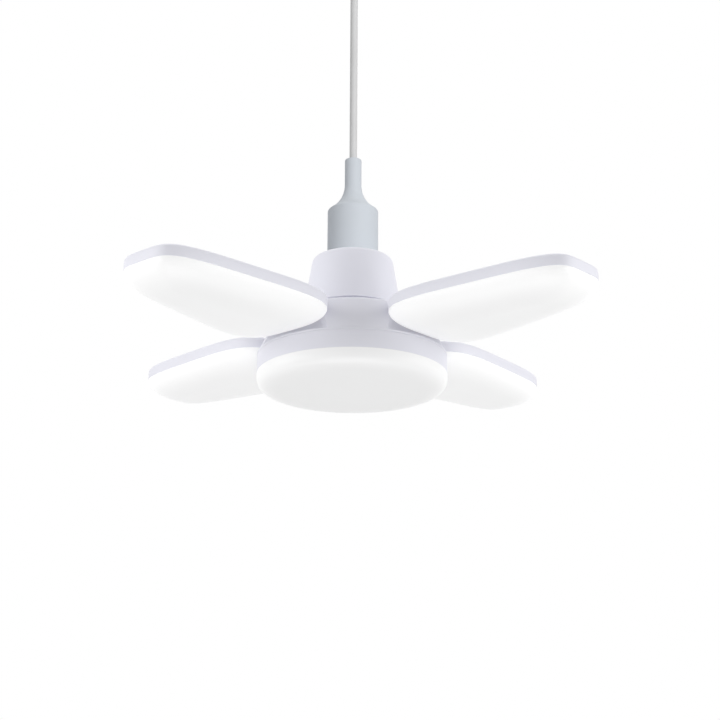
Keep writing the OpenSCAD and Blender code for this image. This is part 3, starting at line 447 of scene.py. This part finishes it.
def make_finishes():
    """Makes a material for each slot of the record."""
    colours = settings().colours
    moulded_plastic("rose_plastic", colours.rose_white)
    moulded_plastic("lamp_white", colours.lamp_white)
    moulded_plastic("holder_grey", colours.holder_grey, roughness=0.5, gloss=0.12)
    moulded_plastic("core_cream", (0.78, 0.74, 0.62), roughness=0.5, grain=900)
    moulded_plastic("component_dark", (0.05, 0.05, 0.06), roughness=0.45, grain=700)
    glossy_plastic("circuit_green", (0.03, 0.22, 0.09), roughness=0.35)
    glossy_plastic("led_board", (0.80, 0.81, 0.81), roughness=0.4)
    glossy_plastic("led_yellow", (0.85, 0.62, 0.12), roughness=0.3)
    glossy_plastic("insulator_black", (0.015, 0.015, 0.018), roughness=0.12)
    glossy_plastic("wire_brown", (0.17, 0.07, 0.03))
    glossy_plastic("wire_blue", (0.05, 0.16, 0.45))
    glossy_plastic("wire_red", (0.55, 0.03, 0.02))
    rubber("grip_rubber", (0.05, 0.05, 0.055))
    cable_sheath("cable_grey", colours.cable_grey)
    milky_diffuser("diffuser_milk", colours.diffuser)
    worn_metal("screw_steel", colours.steel)
    worn_metal("pin_steel", colours.steel, roughness=0.24)
    worn_metal("spring_steel", colours.steel, roughness=0.28, stretch=(1, 1, 6))
    worn_metal("barrel_metal", (0.66, 0.67, 0.69), roughness=0.34, stretch=(1, 1, 8))
    worn_metal("cap_metal", (0.68, 0.69, 0.71), stretch=(1, 1, 8))
    worn_metal("contact_solder", (0.62, 0.63, 0.64), roughness=0.4)
    worn_metal("terminal_brass", colours.brass, stretch=(6, 1, 1))
    worn_metal("plunger_brass", colours.brass, roughness=0.24, stretch=(1, 1, 6))


# ---- mesh tools ----


def body_of(node):
    bodies = frame["record"]["behaviour"]["bodies"]
    return next(body for body, nodes in bodies.items() if node in nodes)


def slot_of(node):
    return next(part["material_slot"] for part in frame["record"]["subparts"] if part["node"] == node)


def finish_of(node):
    return bpy.data.materials[slot_of(node) + FINISH]


def smooth(mesh):
    mesh.shade_smooth()
    mesh.set_sharp_from_angle(angle=SMOOTH_ANGLE)


def new_object(name, bm):
    mesh = bpy.data.meshes.new(name)
    bm.to_mesh(mesh)
    bm.free()
    piece = bpy.data.objects.new(name, mesh)
    bpy.context.scene.collection.objects.link(piece)
    return piece


def stand_in_for(piece, node):
    """piece takes a CAD node's place, body, slot and material."""
    piece.data.materials.clear()
    piece.data.materials.append(finish_of(node))
    smooth(piece.data)
    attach(piece, body_of(node))
    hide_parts(node)
    return piece


def give_own_lamp(piece):
    """piece is lit by the lampholder's and cable's own lamp, and not by the others."""
    bpy.data.collections[OWN_LAMP].objects.link(piece)


def filleted(corners, steps=6):
    """The points of a closed outline of (radius, height, fillet) corners."""
    points = []
    for i, (r, z, fillet) in enumerate(corners):
        corner = Vector((r, z))
        if not fillet:
            points.append(corner)
            continue
        back = (Vector(corners[i - 1][:2]) - corner).normalized()
        on = (Vector(corners[(i + 1) % len(corners)][:2]) - corner).normalized()
        half = back.angle(on) / 2
        centre = corner + (back + on).normalized() * fillet / math.sin(half)
        start = corner + back * fillet / math.tan(half) - centre
        end = corner + on * fillet / math.tan(half) - centre
        points += [centre + fillet * start.slerp(end, k / steps) for k in range(steps + 1)]
    return points


def quarter_turns(steps):
    """Angles from 0 to a quarter turn."""
    return [math.pi / 2 * k / steps for k in range(steps + 1)]


def quarter(across, deep, square):
    """A quarter of a rounded corner as (inwards, down) steps, from straight down to level."""
    power = 2 / square
    return [
        (across * (1 - math.cos(t) ** power), deep * math.sin(t) ** power)
        for t in quarter_turns(QUARTER_STEPS)
    ]


def lathe(name, outline):
    """A closed outline in the XZ plane, spun round Z. Points on the axis close it there."""
    bm = bmesh.new()
    verts = [bm.verts.new((point.x, 0, point.y)) for point in outline]
    pairs = [(a, b) for a, b in zip(verts, verts[1:] + verts[:1]) if max(a.co.x, b.co.x) > MERGE]
    edges = [bm.edges.new(pair) for pair in pairs]
    bmesh.ops.spin(
        bm, geom=verts + edges, cent=(0, 0, 0), axis=(0, 0, 1), angle=2 * math.pi, steps=LATHE_STEPS,
        use_merge=True,
    )
    bmesh.ops.remove_doubles(bm, verts=bm.verts, dist=MERGE)
    bmesh.ops.dissolve_degenerate(bm, edges=bm.edges, dist=MERGE)
    bmesh.ops.recalc_face_normals(bm, faces=bm.faces)
    return new_object(name, bm)


def raise_face(bm, ring, height):
    """Makes a prism on a ring of vertices. Returns the vertices of its top."""
    made = bmesh.ops.extrude_face_region(bm, geom=[bm.faces.new(ring)])["geom"]
    top = [item for item in made if isinstance(item, bmesh.types.BMVert)]
    bmesh.ops.translate(bm, verts=top, vec=(0, 0, height))
    return top


def bevel(bm, width):
    """Bevels every sharp edge."""
    sharp = [
        edge for edge in bm.edges
        if len(edge.link_faces) == 2 and edge.calc_face_angle() > SHARP_ANGLE
    ]
    bmesh.ops.bevel(
        bm, geom=sharp, offset=width, offset_type="OFFSET", segments=BEVEL_STEPS, profile=0.5,
        affect="EDGES", material=-1, clamp_overlap=True,
    )


def refined(node, width):
    """A CAD node's copy, merged, with its flat faces made whole and its sharp edges bevelled."""
    bm = bmesh.new()
    bm.from_mesh(frame["nodes"][node].data)
    bmesh.ops.remove_doubles(bm, verts=bm.verts, dist=MERGE)
    bmesh.ops.dissolve_limit(bm, angle_limit=FLAT_ANGLE, verts=bm.verts, edges=bm.edges)
    bevel(bm, width)
    return stand_in_for(new_object(node + "_piece", bm), node)


def bevel_piece(piece, width):
    """Bevels every sharp edge of a finished solid."""
    bm = bmesh.new()
    bm.from_mesh(piece.data)
    bmesh.ops.remove_doubles(bm, verts=bm.verts, dist=MERGE)
    bmesh.ops.dissolve_degenerate(bm, edges=bm.edges, dist=MERGE)
    bevel(bm, width)
    bm.to_mesh(piece.data)
    bm.free()


def carve(piece, cutters, operation="DIFFERENCE"):
    """piece with the cutters taken off, or joined on."""
    for cutter in cutters:
        step = piece.modifiers.new("carve", "BOOLEAN")
        step.object = cutter
        step.operation = operation
        step.solver = "EXACT"
    bpy.context.view_layer.update()
    shape = piece.evaluated_get(bpy.context.evaluated_depsgraph_get())
    mesh = bpy.data.meshes.new_from_object(shape)
    piece.modifiers.clear()
    piece.data = mesh
    for cutter in cutters:
        bpy.data.objects.remove(cutter)
    return piece


def rod(name, radius, start, end, segments=32):
    """A capped cylinder from start to end."""
    bm = bmesh.new()
    along = Vector(end) - Vector(start)
    turn = along.to_track_quat("Z", "Y").to_matrix().to_4x4()
    place = Matrix.Translation((Vector(start) + Vector(end)) / 2) @ turn
    bmesh.ops.create_cone(
        bm, cap_ends=True, segments=segments, radius1=radius, radius2=radius, depth=along.length,
        matrix=place,
    )
    return new_object(name, bm)


# ---- leaves ----


def leaf_frame(n):
    """From leaf n's own axes (x outwards and z up from its pin, y along the pin) to the row's."""
    joint = next(j for j in frame["joints"] if j["name"] == f"leaf_{n}_fold")
    pin = Vector(joint["pos_m"])
    tilt = math.radians(-joint["range_deg"][0])
    outwards = Matrix.Rotation(math.atan2(pin.y, pin.x), 4, "Z")
    return Matrix.Translation(pin) @ outwards @ Matrix.Rotation(-tilt, 4, "Y")


def leaf_box(kind):
    """Lowest and highest corner of leaf 1's piece in the leaf's own axes."""
    back = leaf_frame(1).inverted()
    points = [back @ vert.co for vert in frame["nodes"][f"{kind}_1"].data.vertices]
    return tuple(Vector([pick(p[axis] for p in points) for axis in range(3)]) for pick in (min, max))


class LeafOutline:
    """The leaf's rounded, tapering outline. A point is given by its turn round it and its inset."""

    def __init__(self):
        self.shape = settings().leaf
        low, high = leaf_box("leaf_diffuser")
        self.middle = (low.x + high.x) / 2
        self.half_length = (high.x - low.x) / 2
        # The outline is widest somewhere between these turns
        turns = [math.pi * (0.3 + 0.5 * k / 100) for k in range(101)]
        self.half_width = high.y / max(self.unit(turn)[1] for turn in turns)

    def unit(self, turn):
        c, s = math.cos(turn), math.sin(turn)
        power = 2 / (self.shape.square_out if c > 0 else self.shape.square_in)
        x = math.copysign(abs(c) ** power, c)
        y = math.copysign(abs(s) ** power, s)
        return x, y * (1 - self.shape.taper * x)

    def depth_in(self, co):
        """How far a point lies inside the outline, near enough."""
        along = (co.x - self.middle) / self.half_length
        power = self.shape.square_out if along > 0 else self.shape.square_in
        reach = abs(co.y) / (self.half_width * (1 - self.shape.taper * along))
        return self.half_width * (1 - min(1, abs(along) ** power + reach ** power) ** (1 / power))

    def point(self, turn, inset, inner_inset):
        x, y = self.unit(turn)
        shrink = 1 - inset / self.half_width
        end_inset = inset if x > 0 else inner_inset
        return self.middle + (self.half_length - end_inset) * x, self.half_width * shrink * y


def loft(name, outline, steps):
    """A closed solid with flat ends. Its sides pass through (inset, inset of the inner end, z) steps of
    the leaf's outline."""
    bm = bmesh.new()
    turn = bm.verts.layers.float.new("turn")
    ring = bmesh.ops.create_circle(bm, cap_ends=False, radius=1, segments=OUTLINE_STEPS)["verts"]
    for vert in ring:
        vert[turn] = math.atan2(vert.co.y, vert.co.x)
    edges = list(bm.edges)
    first = list(edges)
    for k, (inset, inner_inset, z) in enumerate(steps):
        if k:
            made = bmesh.ops.extrude_edge_only(bm, edges=edges)["geom"]
            ring = [item for item in made if isinstance(item, bmesh.types.BMVert)]
            edges = [item for item in made if isinstance(item, bmesh.types.BMEdge) and item.is_boundary]
        for vert in ring:
            vert.co = (*outline.point(vert[turn], inset, inner_inset), z)
    bmesh.ops.edgeloop_fill(bm, edges=first)
    bmesh.ops.edgeloop_fill(bm, edges=edges)
    bmesh.ops.recalc_face_normals(bm, faces=bm.faces)
    return new_object(name, bm)


def slot_points(length, width, bend):
    """The outline of a round-ended slot along x. With bend, it curves round a centre that far away."""
    half, radius = (length - width) / 2, width / 2
    turns = [math.pi * (k / SLOT_STEPS - 0.5) for k in range(SLOT_STEPS + 1)]
    upper = [(half + radius * math.cos(turn), radius * math.sin(turn)) for turn in turns]
    upper += [(half * (1 - 2 * k / SLOT_STEPS), radius) for k in range(1, SLOT_STEPS)]
    points = upper + [(-x, -y) for x, y in upper]
    if not bend:
        return points
    return [((bend + y) * math.sin(x / bend), (bend + y) * math.cos(x / bend)) for x, y in points]


def add_slot(bm, length, width, place, bend=0):
    """Adds a slot-shaped prism at place."""
    low = -VENT_CUTTER_HEIGHT / 2
    ring = [bm.verts.new((x, y, low)) for x, y in slot_points(length, width, bend)]
    top = raise_face(bm, ring, VENT_CUTTER_HEIGHT)
    bmesh.ops.transform(bm, matrix=place, verts=ring + top)


def vent_cutter(outline):
    """Two bursts of straight slots and, between them, a pair of curved slots, for a leaf's back."""
    shape = settings().leaf
    bm = bmesh.new()
    burst_x = shape.burst_place * outline.half_length
    for side in (-1, 1):
        centre = Matrix.Translation((outline.middle + side * burst_x, 0, 0))
        for k in range(shape.slot_count):
            turn = Matrix.Rotation(2 * math.pi * (k + 0.5) / shape.slot_count, 4, "Z")
            place = centre @ turn @ Matrix.Translation((shape.burst_radius, 0, 0))
            add_slot(bm, shape.slot_length, shape.slot_width, place)
    for turn in (0, math.pi):
        place = Matrix.Translation((outline.middle, 0, 0)) @ Matrix.Rotation(turn, 4, "Z")
        add_slot(bm, shape.arc_radius * shape.arc_turn, shape.slot_width, place, shape.arc_radius)
    bmesh.ops.recalc_face_normals(bm, faces=bm.faces)
    return new_object("vent_cutter", bm)


def tongue(outline):
    """The flat tongue that joins a leaf to its knuckle."""
    shape = settings().leaf
    root = outline.middle - outline.half_length + shape.wall
    wide = shape.knuckle_radius + shape.tongue_clear
    corners = [
        (shape.tongue_start, shape.knuckle_half), (wide, shape.knuckle_half),
        (wide + shape.tongue_slope, shape.tongue_half), (root, shape.tongue_half),
    ]
    bm = bmesh.new()
    ring = [bm.verts.new((x, -y, -shape.tongue_thick)) for x, y in corners]
    ring += [bm.verts.new((x, y, -shape.tongue_thick)) for x, y in reversed(corners)]
    raise_face(bm, ring, shape.tongue_thick)
    bmesh.ops.recalc_face_normals(bm, faces=bm.faces)
    return new_object("tongue", bm)


def copies_for_leaves(piece, kind):
    """Puts a copy of a piece made in the leaf's own axes on each leaf."""
    for n in LEAVES:
        copy = bpy.data.objects.new(f"{kind}_{n}_piece", piece.data.copy())
        copy.data.transform(leaf_frame(n))
        bpy.context.scene.collection.objects.link(copy)
        stand_in_for(copy, f"{kind}_{n}")
    bpy.data.objects.remove(piece)


def paint_glow_and_rim_highlight(piece, level, depth_in):
    """Paints the light of a diffuser on its mesh: level, and brighter towards the edge, where the addition is
    partly the lamp's own light and partly a painted highlight for the side light on the rounded edge. depth_in(co)
    is how far a point lies inside the outline."""
    light = settings().diffuser
    layer = piece.data.attributes.new(GLOW_AND_RIM_HIGHLIGHT, "FLOAT", "POINT")
    for vert, item in zip(piece.data.vertices, layer.data):
        item.value = level + light.rim_glow_and_highlight * max(0, 1 - depth_in(vert.co) / light.rim_glow_and_highlight_reach) ** 2


# ---- operators ----


class FinishesOperator(bpy.types.Operator):
    """Make a material for each slot of the record"""

    bl_idname = "garage_light.finishes"
    bl_label = "Finishes"

    def execute(self, context):
        make_finishes()
        slots = {material["slot"] for material in frame["record"]["materials"]}
        missing = sorted(slot for slot in slots if slot + FINISH not in bpy.data.materials)
        if missing:
            raise ValueError(f"no finish for {missing}")
        return {"FINISHED"}


class StageOperator(bpy.types.Operator):
    """Make the camera, the lamps, the white surroundings and the floor"""

    bl_idname = "garage_light.stage"
    bl_label = "Stage"

    def execute(self, context):
        stage = settings().stage
        self.camera(context.scene, stage)
        self.surroundings(context.scene, stage)
        self.lamps(stage)
        self.floor(stage)
        context.scene.view_settings.view_transform = "Standard"
        return {"FINISHED"}

    def camera(self, scene, stage):
        across = math.cos(stage.elevation)
        x, y = math.sin(stage.azimuth) * across, -math.cos(stage.azimuth) * across
        back = Vector((x, y, math.sin(stage.elevation)))
        camera = bpy.data.objects.new("camera", bpy.data.cameras.new("camera"))
        camera.location = Vector((0, 0, RIM_Z)) + back * stage.distance
        turn = (-back).to_track_quat("-Z", "Y") @ Quaternion((0, 0, 1), stage.roll)
        camera.rotation_euler = turn.to_euler()
        camera.data.sensor_width = SENSOR_MM
        camera.data.lens = stage.focal
        camera.data.shift_x = stage.shift_x
        camera.data.shift_y = stage.shift_y
        scene.collection.objects.link(camera)
        scene.camera = camera

    def surroundings(self, scene, stage):
        world = bpy.data.worlds.new("surroundings")
        world.use_nodes = True
        tree = world.node_tree
        background = tree.nodes["Background"]
        background.inputs["Color"].default_value = (1, 1, 1, 1)
        tree.links.new(self.strength(tree, stage.ambient, 1), background.inputs["Strength"])
        scene.world = world

    def strength(self, tree, unseen, seen):
        """A strength: seen where the camera looks, straight, in a reflection or through something, and
        unseen for all other rays."""
        rays = tree.nodes.new("ShaderNodeLightPath")
        looked_at = self.largest(tree, rays.outputs["Is Camera Ray"], rays.outputs["Is Glossy Ray"])
        looked_at = self.largest(tree, looked_at, rays.outputs["Is Transmission Ray"])
        strength = tree.nodes.new("ShaderNodeMapRange")
        strength.inputs["To Min"].default_value = unseen
        strength.inputs["To Max"].default_value = seen
        tree.links.new(looked_at, strength.inputs["Value"])
        return strength.outputs["Result"]

    def largest(self, tree, first, second):
        node = tree.nodes.new("ShaderNodeMath")
        node.operation = "MAXIMUM"
        tree.links.new(first, node.inputs[0])
        tree.links.new(second, node.inputs[1])
        return node.outputs["Value"]

    def lamps(self, stage):
        """Makes the lamps: name, place, size, power, and whether it lights only the pieces that have a
        lamp of their own (INCLUDE) or all but them (EXCLUDE)."""
        lamps = (
            ("side_left", (-1.3, -0.4, -0.1), 1.2, stage.side_power, "EXCLUDE"),
            ("side_right", (1.3, -0.4, -0.1), 1.2, stage.side_power, "EXCLUDE"),
            ("lampholder_key", (0.65, -1.1, 0.1), 0.7, stage.key_power, "INCLUDE"),
            ("under", (0, -0.5, -1.7), 1.4, stage.under_power, "EXCLUDE"),
            ("top", (0, 0.4, 1.1), 1.4, stage.top_power, "EXCLUDE"),
        )
        target = Vector((0, 0, RIM_Z + stage.aim_height))
        pieces = bpy.data.collections.new(OWN_LAMP)
        for name, place, size, power, state in lamps:
            self.link(self.lamp(name, place, target, size, power), pieces, state)

    def lamp(self, name, place, target, size, power):
        light = bpy.data.lights.new(name, "AREA")
        light.size = size
        light.energy = power
        lamp = bpy.data.objects.new(name, light)
        lamp.location = place
        lamp.rotation_euler = (target - lamp.location).to_track_quat("-Z", "Y").to_euler()
        lamp.visible_camera = False
        bpy.context.scene.collection.objects.link(lamp)
        return lamp

    def link(self, lamp, pieces, state):
        """Keeps a lamp's light on a collection's pieces, or off them. The pieces are added later."""
        receivers = bpy.data.collections.new(f"{lamp.name}_{state.lower()}")
        receivers.children.link(pieces)
        lamp.light_linking.receiver_collection = receivers
        receivers.collection_children[0].light_linking.link_state = state

    def floor(self, stage):
        bm = bmesh.new()
        bmesh.ops.create_grid(bm, x_segments=1, y_segments=1, size=stage.floor_half)
        bmesh.ops.translate(bm, verts=bm.verts, vec=(0, 0, stage.floor_z))
        floor = new_object("floor", bm)
        paint = moulded_plastic("floor_paint", settings().colours.floor, roughness=0.6, grain=300)
        shader = paint.node_tree.nodes["Principled BSDF"]
        shader.inputs["Emission Color"].default_value = (1, 1, 1, 1)
        glow = self.strength(paint.node_tree, 0, stage.floor_glow)
        paint.node_tree.links.new(glow, shader.inputs["Emission Strength"])
        floor.data.materials.append(paint)


class InnerPiecesOperator(bpy.types.Operator):
    """Give every CAD node that stays its slot's material"""

    bl_idname = "garage_light.inner_pieces"
    bl_label = "Inner Pieces"

    def execute(self, context):
        for node, piece in frame["nodes"].items():
            for slot in piece.material_slots:
                slot.material = finish_of(node)
        return {"FINISHED"}


class CeilingRoseOperator(bpy.types.Operator):
    """Make the ceiling rose's cover, back plate and screws"""

    bl_idname = "garage_light.ceiling_rose"
    bl_label = "Ceiling Rose"

    def execute(self, context):
        pendant = settings().pendant
        self.cover(pendant)
        refined("rose_base", pendant.base_bevel)
        screws = refined("rose_screws", pendant.screw_bevel)
        carve(screws, self.recesses(pendant))
        smooth(screws.data)
        return {"FINISHED"}

    def cover(self, pendant):
        low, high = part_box("rose_cover")
        radius, wall = high.y, pendant.rose_wall
        face = low.z + pendant.outlet_height
        outlet = pendant.cable_radius + pendant.outlet_reach
        bore = pendant.cable_radius + pendant.cable_gap
        cover = lathe("rose_cover_piece", filleted([
            (radius, 0, 0.3 * MM), (radius, face, pendant.rose_edge), (outlet, face, 1.5 * MM),
            (outlet, low.z, 1 * MM), (bore, low.z, 0.4 * MM), (bore, face + wall, 0),
            (radius - wall, face + wall, pendant.rose_edge - wall), (radius - wall, 0, 0.3 * MM),
        ], steps=10))
        start, end = ((side * SCREW_CUTTER_REACH, 0, pendant.screw_z) for side in (-1, 1))
        carve(cover, [rod("screw_hole", pendant.screw_bore, start, end)])
        stand_in_for(cover, "rose_cover")

    def recesses(self, pendant):
        """Cutters for a cross recess in the head of each cover screw. The two screws lie along x."""
        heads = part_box("rose_screws")[1].x
        size = (pendant.recess_depth, pendant.recess_length, pendant.recess_width)
        cutters = []
        for side in (-1, 1):
            for turn in (0, math.pi / 2):
                bm = bmesh.new()
                bmesh.ops.create_cube(bm, size=1)
                bmesh.ops.scale(bm, vec=size, verts=bm.verts)
                head = Matrix.Translation((side * heads, 0, pendant.screw_z))
                bmesh.ops.transform(bm, matrix=head @ Matrix.Rotation(turn, 4, "X"), verts=bm.verts)
                cutters.append(new_object("recess", bm))
        return cutters


class CableOperator(bpy.types.Operator):
    """Make the cable, from the lampholder's neck straight up into the ceiling rose"""

    bl_idname = "garage_light.cable"
    bl_label = "Cable"

    def execute(self, context):
        pendant = settings().pendant
        heights = [pendant.cable_low, *(ring * MM for ring in CABLE_RINGS), pendant.cable_high]
        line = bpy.data.curves.new("cable_piece", "CURVE")
        line.dimensions = "3D"
        line.bevel_depth = pendant.cable_radius
        line.bevel_resolution = 8
        line.use_fill_caps = True
        spline = line.splines.new("POLY")
        spline.points.add(len(heights) - 1)
        for point, height in zip(spline.points, heights):
            point.co = (0, 0, height, 1)
        cable = bpy.data.objects.new("cable_piece", line)
        context.scene.collection.objects.link(cable)
        line.materials.append(finish_of("cable"))
        give_own_lamp(cable)
        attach(cable, body_of("cable"))
        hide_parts("cable")
        return {"FINISHED"}


class LampholderOperator(bpy.types.Operator):
    """Make the lampholder's casing: neck, flare, shoulder and cylinder"""

    bl_idname = "garage_light.lampholder"
    bl_label = "Lampholder"

    def execute(self, context):
        holder, pendant = settings().lampholder, settings().pendant
        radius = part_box("holder_sleeve")[1].x
        inner = radius - holder.wall
        cable_bore = pendant.cable_radius + pendant.cable_gap
        core_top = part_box("holder_core")[1].z
        core_low, core_high = core_top - holder.core_height, core_top + holder.core_gap
        grip_high = HOLDER_HIGH - holder.grip_depth
        casing = lathe("holder_sleeve_piece", filleted([
            (holder.neck_radius, HOLDER_HIGH, holder.neck_round), *self.flare(holder, radius),
            (radius, HOLDER_LOW + holder.body_height, holder.shoulder_round),
            (radius, HOLDER_LOW, holder.mouth_round), (inner, HOLDER_LOW, holder.mouth_round),
            (inner, core_low, 0), (holder.core_bore, core_low, 0),
            (holder.core_bore, core_high, 0), (holder.grip_bore, core_high, 0),
            (holder.grip_bore, grip_high, 0), (cable_bore, grip_high, 0),
            (cable_bore, HOLDER_HIGH, 0.4 * MM),
        ], steps=8))
        give_own_lamp(stand_in_for(casing, "holder_sleeve"))
        return {"FINISHED"}

    def flare(self, holder, radius):
        """The outline's points from the neck down: an arc, whose end slopes straight to the shoulder."""
        bend = holder.flare_height / math.sin(holder.flare_turn)
        end = holder.neck_radius + bend * (1 - math.cos(holder.flare_turn))
        shoulder = HOLDER_LOW + holder.body_height
        top = shoulder + (radius - end) / math.tan(holder.flare_turn) + holder.flare_height
        turns = [holder.flare_turn * k / FLARE_STEPS for k in range(FLARE_STEPS + 1)]
        return [
            (holder.neck_radius + bend * (1 - math.cos(t)), top - bend * math.sin(t), 0) for t in turns
        ]


class HubOperator(bpy.types.Operator):
    """Make the hub cover, the cap's collar on it, the hinge frame under it, and the hinge pins"""

    bl_idname = "garage_light.hub"
    bl_label = "Hub"

    def execute(self, context):
        hub = settings().hub
        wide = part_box("hub_cover")[1].x
        cover = lathe("hub_cover_piece", filleted([
            (hub.collar_bore, HUB_HIGH, 0.3 * MM), (hub.top_radius, HUB_HIGH, hub.top_round),
            (wide, HUB_LOW, 0.6 * MM), (wide - hub.wall, HUB_LOW, 0.3 * MM),
            (hub.top_radius - hub.wall, HUB_HIGH - hub.wall, hub.top_round - hub.wall),
            (hub.collar_bore, HUB_HIGH - hub.wall, 0),
        ], steps=10))
        stand_in_for(cover, "hub_cover")
        refined("hinge_frame", hub.small_bevel)
        refined("cap_collar", hub.small_bevel)
        for n in LEAVES:
            refined(f"hinge_pin_{n}", hub.pin_bevel)
        return {"FINISHED"}


class CentreDiscOperator(bpy.types.Operator):
    """Make the drum and the lit centre diffuser"""

    bl_idname = "garage_light.centre_disc"
    bl_label = "Centre Disc"

    def execute(self, context):
        hub = settings().hub
        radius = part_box("base_shell")[1].x
        self.drum(hub, radius)
        self.diffuser(hub, radius)
        return {"FINISHED"}

    def drum(self, hub, radius):
        low, high = (corner.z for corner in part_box("base_shell"))
        inner = radius - hub.drum_wall
        plate_low = low + hub.plate_height
        plate_high = plate_low + hub.plate_thick
        drum = lathe("base_shell_piece", filleted([
            (radius, high, 0.5 * MM), (radius, low, 0.25 * MM), (inner, low, 0),
            (inner, plate_low, 0), (hub.plate_bore, plate_low, 0), (hub.plate_bore, plate_high, 0),
            (inner, plate_high, 0), (inner, high, 0.3 * MM),
        ]))
        stand_in_for(drum, "base_shell")

    def diffuser(self, hub, radius):
        shape = settings().diffuser
        deep = RIM_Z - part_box("center_diffuser")[0].z
        lip = radius - hub.drum_wall - shape.lip_gap
        lip_in, lip_top = lip - shape.skin, RIM_Z + shape.lip_height
        outer = quarter(hub.disc_edge, deep, hub.disc_square)
        inner = quarter(hub.disc_edge - hub.drum_wall, deep - shape.skin, hub.disc_square)
        outline = [Vector((radius - across, RIM_Z - down)) for across, down in outer]
        outline += [Vector((0, RIM_Z - deep)), Vector((0, RIM_Z - deep + shape.skin))]
        outline += [Vector((lip_in - across, RIM_Z - down)) for across, down in reversed(inner)]
        outline += [Vector((lip_in, lip_top)), Vector((lip, lip_top)), Vector((lip, RIM_Z))]
        diffuser = lathe("center_diffuser_piece", outline)
        paint_glow_and_rim_highlight(diffuser, shape.disc_glow, lambda co: radius - co.xy.length)
        stand_in_for(diffuser, "center_diffuser")


class LeafCasingOperator(bpy.types.Operator):
    """Make the four leaf casings with their vents, tongues and hinge knuckles"""

    bl_idname = "garage_light.leaf_casings"
    bl_label = "Leaf Casings"

    def execute(self, context):
        shape = settings().leaf
        outline = LeafOutline()
        casing = loft("leaf_casing", outline, self.steps(shape))
        half = shape.knuckle_half
        knuckle = rod("knuckle", shape.knuckle_radius, (0, -half, 0), (0, half, 0), segments=64)
        carve(casing, [tongue(outline), knuckle], "UNION")
        pin_bore = rod("pin_bore", shape.pin_bore, (0, -2 * half, 0), (0, 2 * half, 0))
        carve(casing, [vent_cutter(outline), pin_bore])
        bevel_piece(casing, shape.bevel)
        copies_for_leaves(casing, "leaf_shell")
        return {"FINISHED"}

    def steps(self, shape):
        """From the inside of the casing's back down its wall, round its mouth and up its outside."""
        wall, rim, seam = shape.wall, shape.rim_round, shape.seam_round
        mouth = leaf_box("leaf_shell")[0].z
        turns = quarter_turns(EDGE_STEPS)
        steps = [(wall, -wall), (wall, mouth), (seam, mouth)]
        steps += [(seam * (1 - math.sin(t)), mouth + seam * (1 - math.cos(t))) for t in turns[2::2]]
        steps += [(rim * (1 - math.cos(t)), -rim + rim * math.sin(t)) for t in turns]
        return [(inset, inset, z) for inset, z in steps]


class LeafDiffuserOperator(bpy.types.Operator):
    """Make the four lit leaf diffusers"""

    bl_idname = "garage_light.leaf_diffusers"
    bl_label = "Leaf Diffusers"

    def execute(self, context):
        leaf, shape = settings().leaf, settings().diffuser
        outline = LeafOutline()
        mouth = leaf_box("leaf_shell")[0].z
        deep = mouth - leaf_box("leaf_diffuser")[0].z
        seam = leaf.seam_round
        lip_out = leaf.wall + shape.lip_gap
        lip_in = lip_out + shape.skin
        lip_top = mouth + shape.lip_height
        inner = self.bowl(lip_in, leaf.wall, mouth, deep - shape.skin)
        outer = self.bowl(0, 0, mouth, deep)
        lip = [(lip_in, lip_top), (lip_out, lip_top), (lip_out, mouth), (seam, mouth)]
        steps = inner[::-1] + [(inset, inset, z) for inset, z in lip] + outer[1:]
        diffuser = loft("leaf_diffuser", outline, steps)
        paint_glow_and_rim_highlight(diffuser, shape.leaf_glow, outline.depth_in)
        copies_for_leaves(diffuser, "leaf_diffuser")
        return {"FINISHED"}

    def bowl(self, start, wall, mouth, deep):
        """The steps of one side of the bowl. It runs further in at the inner end, to clear the drum."""
        shape = settings().leaf
        sides = quarter(shape.diffuser_edge - wall, deep, shape.diffuser_square)
        ends = quarter(shape.diffuser_bow - wall, deep, shape.diffuser_square)
        return [
            (start + side, start + end, mouth - down) for (side, down), (end, down) in zip(sides, ends)
        ]


OPERATORS = (
    FinishesOperator,
    StageOperator,
    InnerPiecesOperator,
    CeilingRoseOperator,
    CableOperator,
    LampholderOperator,
    HubOperator,
    CentreDiscOperator,
    LeafCasingOperator,
    LeafDiffuserOperator,
)


class GarageLightPanel(bpy.types.Panel):
    bl_idname = "VIEW3D_PT_garage_light"
    bl_label = "Folding Garage Light"
    bl_space_type = "VIEW_3D"
    bl_region_type = "UI"
    bl_category = "Garage Light"

    def draw(self, context):
        for operator in OPERATORS:
            self.layout.operator(operator.bl_idname)


CLASSES = (
    LeafSettings,
    LampholderSettings,
    HubSettings,
    DiffuserSettings,
    PendantSettings,
    ColourSettings,
    StageSettings,
    GarageLightSettings,
    *OPERATORS,
    GarageLightPanel,
)


def register():
    for cls in CLASSES:
        bpy.utils.register_class(cls)
    bpy.types.Scene.garage_light = PointerProperty(type=GarageLightSettings)


def unregister():
    del bpy.types.Scene.garage_light
    for cls in reversed(CLASSES):
        bpy.utils.unregister_class(cls)


def main():
    register()
    for operator in OPERATORS:
        group, name = operator.bl_idname.split(".")
        getattr(getattr(bpy.ops, group), name)()


if __name__ == "__main__":
    main()
